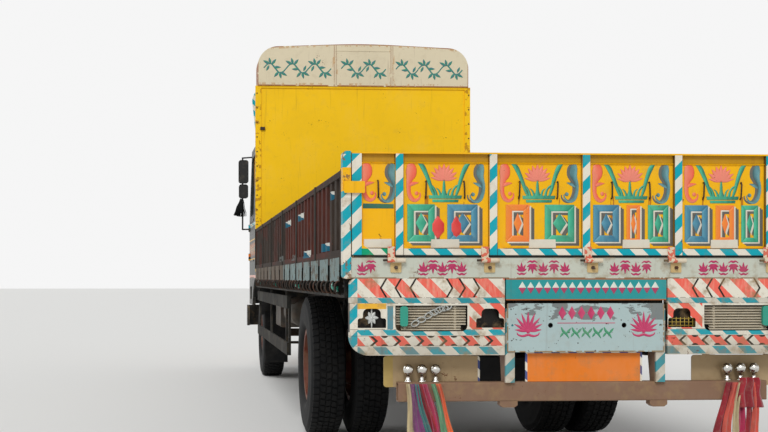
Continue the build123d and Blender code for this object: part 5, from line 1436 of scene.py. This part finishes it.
for side, strips in (("left", left_strips), ("right", right_strips)):
    for i, (tone, x_top, x_middle, x_bottom, wide) in enumerate(strips):
        layer = cloth_y - layer_gap * (i % 3)
        low = cloth_low.z + hem_step * ((i * 5) % 4)
        top, half_way = (x_top, layer, cloth_top), (x_middle, layer - 0.004, cloth_top - 0.216)
        piece, flat = streamer(f"streamer_{side}_{i + 1}", top, half_way, (x_bottom, layer, low), wide,
                               cloth_tones[tone], 1.5, (0.42, 0.90), 1.3 * i)
        streamers_made.append((piece, flat))
piece, flat = streamer("streamer_right_wide", (0.858, cloth_y - 0.022, cloth_top + 0.026),
                       (0.864, cloth_y - 0.022, cloth_top - 0.040),
                       (0.868, cloth_y - 0.018, cloth_top - 0.130),
                       0.170, cloth_tones["red"], 3.0, (0.62, 0.82), 0.4)
streamers_made.append((piece, flat))
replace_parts(streamers_made[0][0], "streamers")
for piece, (width, length) in streamers_made:
    print(piece.name, "flat", round(width, 3), "x", round(length, 3))

# %% [markdown]
# A truck tyre is a moulded carcass with a tread of separate lugs. The carcass is one profile turned about the
# axle, down to the floor of the grooves. The tread is one pitch of five lugs, set sixty times round by the
# repeat tree. Wheel nuts go round each disc in the same way.

# %% Tyres, tread and wheel nuts
tread_floor, tread_pitches, nuts_on_disc = 0.5125, 60, 10
half_profile = [(0.092, 0.256), (0.092, 0.279), (0.100, 0.285), (0.118, 0.300), (0.129, 0.318),
                (0.1325, 0.340), (0.1345, 0.348), (0.1330, 0.356), (0.1348, 0.380), (0.1325, 0.425),
                (0.1255, 0.462), (0.1275, 0.468), (0.1265, 0.478), (0.1190, 0.490), (0.1120, 0.503),
                (0.1030, 0.510), (0.0980, tread_floor)]
tyre_profile = half_profile + [(-x, r) for x, r in reversed(half_profile)]


def turned(relief, profile, centre, steps=96):
    """A ring turned about the X axis through a centre, from (x, radius) pairs."""
    rings = []
    for step in range(steps):
        turn = math.tau * step / steps
        rings.append([centre + Vector((x, r * math.sin(turn), r * math.cos(turn))) for x, r in profile])
    relief.skin(rings, [[(0.5, i / len(profile)) for i in range(len(profile))]] * steps, loop=True)


def lug(relief, x0, x1, slant, drop=0.0):
    """One slanted block of tread; drop lowers its outer side over the shoulder."""
    half, rings = 0.0212, []
    for lift, inset in ((-0.003, 0), (0.008, 0.0005), (0.0112, 0.0025)):
        corners = ((x0 + inset, -half + inset), (x1 - inset, -half + inset), (x1 - inset, half - inset),
                   (x0 + inset, half - inset))
        rings.append([(x, y + slant * x, lift - (drop if abs(x) > 0.09 else 0)) for x, y in corners])
    relief.skin(rings, [[(0.5, 0.5)] * 4] * 3, smooth=False)


def around(centre, radius, count, facing=None):
    """Places round an axle: turned outwards from it, or facing along it."""
    places = []
    for i in range(count):
        turn = math.tau * (i + 0.25) / count
        place = centre + Vector((0, radius * math.sin(turn), radius * math.cos(turn)))
        places.append((place, (0, facing * math.pi / 2, 0) if facing else (-turn, 0, 0)))
    return places


pitch_of_tread = Relief()
for lug_sizes in ((-0.112, -0.068, 0.10, 0.007), (-0.060, -0.024, -0.22), (-0.018, 0.018, 0.22),
                  (0.024, 0.060, -0.22), (0.068, 0.112, 0.10, 0.007)):
    lug(pitch_of_tread, *lug_sizes)
tread_mesh = pitch_of_tread.result("pitch_of_tread")
nut = Relief()
for radius, lows in ((0.0125, (0, 0.012, 0.015)), (0.0062, (0.014, 0.024, 0.026))):
    rings = [[(radius * share * math.cos(math.tau * k / 6), radius * share * math.sin(math.tau * k / 6), low)
              for k in range(6)] for low, share in zip(lows, (1, 1, 0.8))]
    nut.skin(rings, [[(0.5, 0.5)] * 6] * 3, smooth=False)
nut_mesh = nut.result("nut")
nut_steel = dull_metal("nut_steel", colour(92, 84, 76), rough=0.5, metallic=0.7, rust=0.8, dust=0.4)
for side, sign in (("left", -1), ("right", 1)):
    for axle, y, middles, disc_x, bolt_radius, size in (
            ("front", front_axle_y, (1.000,), 1.062, 0.105, 1.0),
            ("rear", rear_axle_y, (0.700, 1.020), 0.874, 0.1205, 0.72)):
        body = f"wheel_{axle}_{side}"
        node = f"front_tyre_{side}" if axle == "front" else f"rear_tyres_{side}"
        carcass, places = Relief(), []
        for middle in middles:
            centre = Vector((sign * middle, y, axle_z))
            turned(carcass, tyre_profile, centre)
            places += around(centre, tread_floor, tread_pitches)
        piece = dress(f"{axle}_tyre_{side}_carcass", carcass, body, tyre_rubber)
        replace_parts(piece, node)
        repeat(f"{axle}_tyre_{side}_tread", tread_mesh.copy(), places, body, tyre_rubber, "tyre_rubber")
        nut_places = around(Vector((sign * disc_x, y, axle_z)), bolt_radius, nuts_on_disc, facing=sign)
        repeat(f"{axle}_wheel_{side}_nuts", nut_mesh.copy(), nut_places, body, nut_steel, "rim_paint",
               size=size)
print("tread lugs on each tyre", 5 * tread_pitches)

# %% [markdown]
# Along both sides, short plates hang from the wall's bottom rail, pale at the back where they were last
# repainted, and below them runs a row of lashing hooks. The headboard's flange shows its bolt heads, and a
# steel strip guards the end of the planks behind the tailgate.

# %% Skirt plates, lashing hooks and bolts
wall_face = wall_high.x - 0.008
plate_pitch, hook_pitch = 0.475, 0.2
plate = Relief()
plate.tile(box_outline(-0.184, 0.184, 0, 0.126), 0.0026, 0.002)
plate_places, side_hook_places = [], []
for sign in (-1, 1):
    outwards, hook_turn = (0, 0, sign * math.pi / 2), (0, 0, 0 if sign > 0 else math.pi)
    plate_places += [((sign * (wall_face + 0.0002), -4.375 + plate_pitch * i, 1.168), outwards)
                     for i in range(15)]
    side_hook_places += [((sign * wall_face, -4.55 + hook_pitch * i, 1.165), hook_turn) for i in range(35)]
skirt_paint = worn_paint("skirt_paint", colour(92, 80, 68), rust=0.4, dust=0.1, rough=0.7, fade=0.1, dirt=0.3,
                         pattern=skirt_pattern)
repeat("skirt_plates", plate, plate_places, "chassis", skirt_paint, "underframe_paint", seed=21,
       turn_spread=(0, 0.006, 0))
side_hook = tube([(-0.002, 0, 0.006), (0.012, 0, 0.002), (0.021, 0, -0.012), (0.023, 0, -0.036),
                  (0.014, 0, -0.058), (-0.010, 0, -0.064)], 0.0048, 6)
repeat("side_rope_hooks", side_hook, side_hook_places, "chassis", black_iron, "underframe_paint", seed=22,
       turn_spread=(0.05, 0, 0.08))
bolt = Relief()
bolt.dome(0, 0, 0.0085, 0.005, sides=8)
bolt_places = [(x, headboard_low.y, 1.47 + 0.1675 * i) for x in (-1.232, 1.232) for i in range(12)]
repeat("headboard_bolts", bolt, bolt_places, "chassis", black_iron, "headboard_paint", seed=23)
deck_strip = brick((-1.195, rear_face + 0.048, deck_z + 0.0002), (1.195, rear_face + 0.080, deck_z + 0.012))
dress("deck_strip", deck_strip, "chassis", finishes["underframe"])
hinge_xs = [post_pitch * (i - 2) + shift for i, shift in enumerate((-0.020, -0.022, 0.030, -0.017, 0.005))]
repeat("hinge_nuts", nut_mesh.copy(), [((x, rear_face - 0.007, hinge_z - 0.037), (math.pi / 2, 0, 0))
                                       for x in hinge_xs], "chassis", nut_steel, "beam_paint", size=0.8)
print("plates", len(plate_places), "hooks", len(side_hook_places), "bolts", len(bolt_places))

# %% [markdown]
# The lamp openings are decorated too. A silver flower on a stem stands in each outer one, a bent chain of
# silver links lies across the left louvre, and a yellow lattice closes the inner opening on the right.

# %% Flowers, chain and lattice in the lamp openings
silver_paint = brushwork("silver_strokes", colour(216, 218, 214), colour(158, 162, 158),
                         line=colour(96, 100, 98), edge=0.36, rough=0.3, wear=0.5)
flowers = Relief(rear_face + 0.016)
for x in (-1.111, 1.111):
    flowers.stroke([(x, 1.036, 0.006), (x, 1.010, 0.009), (x, 0.960, 0.009), (x, 0.928, 0.006)], 0.004, 3)
    for turn in range(6):
        flowers.petal(x, 0.984, 30 + 60 * turn, 0.035, 0.024, 0.006)
    flowers.dome(x, 0.984, 0.009, 0.009, sides=12)
dress("lamp_flowers", flowers, "chassis", silver_paint)
link_turns = [math.tau * i / 16 for i in range(16)]
link = tube([(0.031 * math.cos(a), 0, 0.018 * math.sin(a)) for a in link_turns], 0.0045, 6, loop=True)
chain_line = smooth_line([(-0.889, 0.956), (-0.820, 0.996), (-0.767, 1.024), (-0.722, 1.038)], 2)
link_places = [((x, rear_face + 0.0035, z), (0, -0.50 + 0.35 * (i % 2), 0))
               for i, (x, z) in enumerate(chain_line)]
repeat("louvre_chain", link, link_places, "chassis", silver_paint, "louvre_metal", size=0.72, seed=24)
lattice = Relief(rear_face + 0.020)
for i in range(7):
    x = 0.436 + 0.022 * i
    lattice.stroke([(x, 0.985, 0.004), (x, 0.930, 0.004)], 0.003, 1)
for i in range(3):
    z = 0.942 + 0.018 * i
    lattice.stroke([(0.427, z, 0.004), (0.577, z, 0.004)], 0.004, 1)
dress("lamp_lattice", lattice, "chassis",
      brushwork("lattice_yellow", colour(206, 178, 70), colour(150, 124, 50)))
print("chain links", len(link_places))

# %% [markdown]
# A leafy vine in faded blue-green runs through the header's three panels. One wave of the vine is the motif,
# and every second copy is turned half round, so that the stems meet.

# %% Vine on the header
vine = Relief()
vine.stroke([(-0.1295, 0.0, 0.014), (-0.090, 0.042, 0.017), (-0.045, 0.050, 0.018), (0.0, 0.0, 0.019),
             (0.045, -0.050, 0.018), (0.090, -0.042, 0.017), (0.1295, 0.0, 0.014)], 0.0018, 4)
for x, z, degrees, length, width in ((-0.060, 0.045, -62, 0.088, 0.034), (-0.052, 0.048, -14, 0.074, 0.032),
                                     (-0.040, 0.042, 40, 0.080, 0.034), (-0.015, 0.012, 92, 0.082, 0.032),
                                     (0.060, -0.045, 118, 0.088, 0.034), (0.052, -0.048, 166, 0.074, 0.032),
                                     (0.040, -0.042, 220, 0.080, 0.034), (-0.070, 0.030, 205, 0.070, 0.030)):
    vine.petal(x, z, degrees, length, width, 0.0020)
vine_x = [-1.025, -0.766, -0.507, -0.130, 0.130, 0.507, 0.766, 1.025]
vine_y, vine_z = header_low.y + 0.0043, 3.602
vine_places = [((x, vine_y, vine_z), (0, math.pi * (i % 2), 0)) for i, x in enumerate(vine_x)]
repeat("header_vine", vine, vine_places, "chassis",
       brushwork("vine_strokes", colour(66, 108, 126), colour(36, 146, 110), line=colour(60, 120, 116),
                 wear=0.8), "header_paint", seed=25, turn_spread=(0, 0.02, 0))
print("vine waves", len(vine_places))

# %% [markdown]
# A bundle of black thread hangs under each mirror against the evil eye. A strand is one thin tapered tube
# with a slight wave. The repeat tree hangs 110 of them from each bound knot, turned out by seeded angles.

# %% Mirror tassels
strand = tube([(0.0, 0, 0), (0.004, 0.002, -0.05), (-0.003, -0.002, -0.12), (0.005, 0.001, -0.18),
               (0.001, 0, -0.238)], 0.0042, 4, taper=(1, 1.2, 1.1, 0.9, 0.4))
tassel_low, tassel_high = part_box("mirror_tassels")
knot_x, knot_y = 1.301, (tassel_low.y + tassel_high.y) / 2
strands_in_tassel = 110
chance = random.Random(7)
strand_places, knots = [], Relief()
for sign in (-1, 1):
    for _ in range(strands_in_tassel):
        lean = chance.uniform(-0.42, 0.22)
        place = (sign * (knot_x + chance.uniform(-0.014, 0.022)), knot_y + chance.uniform(-0.008, 0.008),
                 tassel_high.z - 0.006)
        strand_places.append((place, (chance.uniform(-0.05, 0.05), sign * lean, 0)))
    knots.mesh.from_mesh(tube([(sign * knot_x + sign * 0.022 * math.cos(math.tau * i / 12),
                                knot_y + 0.012 * math.sin(math.tau * i / 12), tassel_high.z - 0.030)
                               for i in range(12)], 0.007, 6, loop=True))
tassel = repeat("mirror_tassel_strands", strand, strand_places, "chassis", thread, "tassel_thread", seed=26)
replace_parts(tassel, "mirror_tassels")
dress("mirror_tassel_knots", knots, "chassis", thread)
print("tassel strands", len(strand_places))

# %% [markdown]
# The photograph doesn't show the front, so it has only what such a truck always has there: wipers, a blank
# number plate, and the tail's lotus repeated on both sides of the grille.

# %% Front ornaments, wipers and plate
front_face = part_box("cab_front")[1].y
front_lotuses = [((x, front_face + seating, 1.80), (0, 0, math.pi)) for x in (-0.875, 0.875)]
repeat("front_lotuses", lotus_mesh, front_lotuses, "chassis", lotus_finish, "cab_paint", size=1.7, seed=27)
glass_low, glass_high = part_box("windscreen")
rake = (glass_high.y - glass_low.y - 0.006) / (glass_high.z - glass_low.z)


def before_glass(x, rise, proud):
    """A place at a rise over the windscreen's foot, proud of the raked glass."""
    return (x, glass_high.y - rise * rake + proud, glass_low.z + rise)


wipers = []
for sign in (-1, 1):
    arm = [before_glass(sign * x, rise, proud)
           for x, rise, proud in ((0.62, -0.012, 0.030), (0.60, 0.03, 0.036), (0.30, 0.25, 0.030))]
    wipers.append(tube(arm, 0.006, 8))
    blade = [before_glass(sign * (0.30 + 0.10 * t), 0.25 + t * 0.25, 0.014)
             for t in (-0.9, -0.5, 0, 0.5, 0.9)]
    wipers.append(tube(blade, 0.008, 6, taper=(0.7, 1, 1.2, 1, 0.7)))
dress("wipers", joined("wipers", wipers), "chassis", black_plastic)
bumper_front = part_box("front_bumper")
plate_z = (bumper_front[0].z + bumper_front[1].z) / 2
number_outline = rounded(box_outline(-0.26, 0.26, plate_z - 0.06, plate_z + 0.06), (0.012,) * 4)
number_plate = cut_plate(number_outline, [], bumper_front[1].y - 0.0005, 0.003)
dress("front_plate", joined("front_plate", [number_plate]), "chassis",
      worn_paint("plate_yellow", colour(226, 190, 80), rust=0.2, dust=0.3))
latch = brick((-1.196, headboard_low.y - 0.010, 2.890), (-1.140, headboard_low.y + 0.001, 2.925))
headboard_latch = dress("headboard_latch", joined("headboard_latch", [latch]), "chassis", black_iron)
eased(headboard_latch, 0.003)
print("front pieces placed")

# %% [markdown]
# The cab has a driver's seat, a mate's seat and a bench across the back. Each cushion is a cover sewn round
# a foam block. Here it starts as a block slightly smaller than its place, is remeshed evenly, and is blown up
# as cloth, while its sewn channels, its piped edge and the face that it rests on are held. So its panels
# crown, and its sides pull in between the corners.

# %% Padded seats
pad_voxel, pad_frames, pad_cap = 0.010, 14, 0.020
channel_reach, channel_depth = 0.022, 0.009
seat_spans = {"driver": (0.380, 0.900), "mate": (-1.080, -0.380)}


def pad_block(name, width, length, height, channels, voxel):
    """An even shell of a rounded block, with its held points in a vertex group."""
    made = bmesh.new()
    within = Matrix.Diagonal((width - 0.016, length - 0.016, height - 0.020, 1))
    bmesh.ops.create_cube(made, size=1.0, matrix=within)
    bmesh.ops.bevel(made, geom=made.edges, offset=min(0.035, height * 0.3), segments=4, profile=0.6,
                    affect="EDGES")
    mesh = bpy.data.meshes.new(name)
    made.to_mesh(mesh)
    made.free()
    piece = put(name, mesh)
    even = piece.modifiers.new("even", "REMESH")
    even.mode, even.voxel_size = "VOXEL", voxel
    piece.data = evaluated(piece)
    piece.modifiers.clear()
    held = piece.vertex_groups.new(name="held")
    low = -height / 2 + 0.010
    for vertex in piece.data.vertices:
        x, _, z = vertex.co
        nearest = min((abs(x - c) for c in channels), default=1.0)
        on_top = z > height / 2 - 0.05 * min(1, height / 0.12)
        if on_top and nearest < channel_reach:
            vertex.co.z -= channel_depth * (1 - (nearest / channel_reach) ** 2)
        if z < low + 0.002:
            held.add([vertex.index], 1.0, "REPLACE")
        elif on_top and nearest < voxel * 0.62:
            held.add([vertex.index], 1.0, "REPLACE")
        elif abs(z - height * 0.28) < voxel * 0.55:
            held.add([vertex.index], 0.85, "REPLACE")
    return piece


def plump(pads):
    """Blows all the pads up together as cloth, then keeps each point within the cap of where it began."""
    begun = [[vertex.co.copy() for vertex in piece.data.vertices] for piece in pads]
    for piece in pads:
        cloth_modifier = piece.modifiers.new("blown", "CLOTH")
        settings = cloth_modifier.settings
        settings.quality, settings.mass = 4, 0.25
        settings.use_pressure, settings.uniform_pressure_force = True, 4.0
        settings.vertex_group_mass = "held"
        settings.tension_stiffness = settings.compression_stiffness = 14
        settings.effector_weights.gravity = 0.0
        cloth_modifier.collision_settings.use_collision = False
    for step in range(1, pad_frames + 1):
        bpy.context.scene.frame_set(step)
    graph = bpy.context.evaluated_depsgraph_get()
    for piece, start in zip(pads, begun):
        blown = bpy.data.meshes.new_from_object(piece.evaluated_get(graph), depsgraph=graph)
        for vertex, before in zip(blown.vertices, start):
            move = vertex.co - before
            if move.length > pad_cap:
                vertex.co = before + move * (pad_cap / move.length)
        piece.modifiers.clear()
        piece.data = blown
    bpy.context.scene.frame_set(1)


seats_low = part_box("seats")[0]
seat_floor, seat_back_y = seats_low.z, front_axle_y - 0.130
bench_low_y = seats_low.y
back_lean = math.atan2(0.070, 0.620)
pad_table = []  # name, middle x, y, z, turn about x, width, length, height, number of channels, voxel
for who, (x0, x1) in seat_spans.items():
    middle, wide, channel_count = (x0 + x1) / 2, x1 - x0, round((x1 - x0) / 0.12)
    pad_table.append((f"{who}_seat_pad", middle, seat_back_y + 0.315, seat_floor + 0.352, 0.0,
                      wide, 0.370, 0.140, channel_count, pad_voxel))
    pad_table.append((f"{who}_back_pad", middle, seat_back_y + 0.030, seat_floor + 0.755,
                      math.pi / 2 + back_lean, wide, 0.570, 0.085, channel_count, pad_voxel))
pad_table.append(("bench_pad", 0.0, bench_low_y + 0.200, seat_floor + 0.405, 0.0,
                  2.16, 0.396, 0.128, 14, 0.016))
pads = []
for name, x, y, z, turn, width, length, height, channel_count, voxel in pad_table:
    channels = [width * ((i + 1) / channel_count - 0.5) for i in range(channel_count - 1)]
    pads.append(pad_block(name, width, length, height, channels, voxel))
plump(pads)
for piece, (_, x, y, z, turn, *_) in zip(pads, pad_table):
    piece.data.transform(Matrix.Translation((x, y, z)) @ Matrix.Rotation(turn, 4, "X"))
    piece.data.polygons.foreach_set("use_smooth", [True] * len(piece.data.polygons))
    piece.data.materials.clear()
    piece.data.materials.append(seat_hide)
    finer = piece.modifiers.new("finer", "SUBSURF")
    finer.levels = finer.render_levels = 1
    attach(piece, "chassis")
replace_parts(pads[0], "seats")
bases = [brick((-1.060, bench_low_y + 0.006, seat_floor), (1.060, bench_low_y + 0.380, seat_floor + 0.342))]
leaned = Matrix.Translation((0, seat_back_y - 0.026, seat_floor + 0.745)) @ Matrix.Rotation(back_lean, 4, "X")
for x0, x1 in seat_spans.values():
    bases.append(brick((x0 + 0.030, seat_back_y + 0.060, seat_floor),
                       (x1 - 0.030, seat_back_y + 0.470, seat_floor + 0.284)))
    shell = brick((x0 + 0.012, -0.010, -0.300), (x1 - 0.012, 0.016, 0.310))
    shell.transform(leaned)
    bases.append(shell)
    for x in (x0 + 0.05, x1 - 0.075):
        bases.append(brick((x, seat_back_y - 0.005, seat_floor + 0.200),
                           (x + 0.025, seat_back_y + 0.070, seat_floor + 0.480)))
base_grey = dull_metal("seat_base_grey", colour(70, 70, 72), rough=0.5)
eased(dress("seat_bases", joined("seat_bases", bases), "chassis", base_grey), 0.006)
print("pads", [piece.name for piece in pads], "points", sum(len(piece.data.vertices) for piece in pads))

# %% [markdown]
# The floor is one large pale plane and the backdrop is the world. Light Path makes the sky look paler to the
# camera, in mirrors and through glass than the level at which it lights the truck. Two wide soft suns stand
# in it: one behind the camera, which models the painted forms, and a weaker one from the left.

# %% Floor, sky and suns
floor_mesh = bpy.data.meshes.new("floor")
reach = 120.0
corners = [(x, y, 0) for x, y in box_outline(-reach, reach, -reach, reach)]
floor_mesh.from_pydata(corners, [], [(0, 1, 2, 3)])
floor = put("floor", floor_mesh)
floor_mesh.materials.append(Paint("floor_pale", colour(226, 226, 224)).finish(0.9))

world = bpy.data.worlds.new("sky")
bpy.context.scene.world = world
world.use_nodes = True
sky = Tree(world.node_tree)
world.node_tree.nodes.clear()
path = sky.node("ShaderNodeLightPath")
camera_ray, glossy_ray, clear_ray = (Value(sky, path.outputs[f"Is {kind} Ray"])
                                     for kind in ("Camera", "Glossy", "Transmission"))
sky_light, pale_backdrop = 0.50, 0.42
strength = (camera_ray | glossy_ray | clear_ray) * pale_backdrop + sky_light
light = sky.node("ShaderNodeBackground", values={"Color": (1, 1, 1, 1), "Strength": strength})
sky.node("ShaderNodeOutputWorld", values={0: light.outputs[0]})


def sun(name, azimuth, elevation, wide, power):
    """A soft sun: where it stands, clockwise from the front, its height and its width, in degrees."""
    data = bpy.data.lights.new(name, "SUN")
    data.energy, data.angle = power, math.radians(wide)
    made = put(name, data)
    turn, rise = math.radians(azimuth), math.radians(elevation)
    stands = Vector((math.sin(turn) * math.cos(rise), math.cos(turn) * math.cos(rise), math.sin(rise)))
    made.rotation_euler = stands.to_track_quat("Z", "Y").to_euler()


sun("key_sun", 200, 42, 22, 1.55)
sun("fill_sun", 300, 35, 40, 0.45)
print("suns placed")
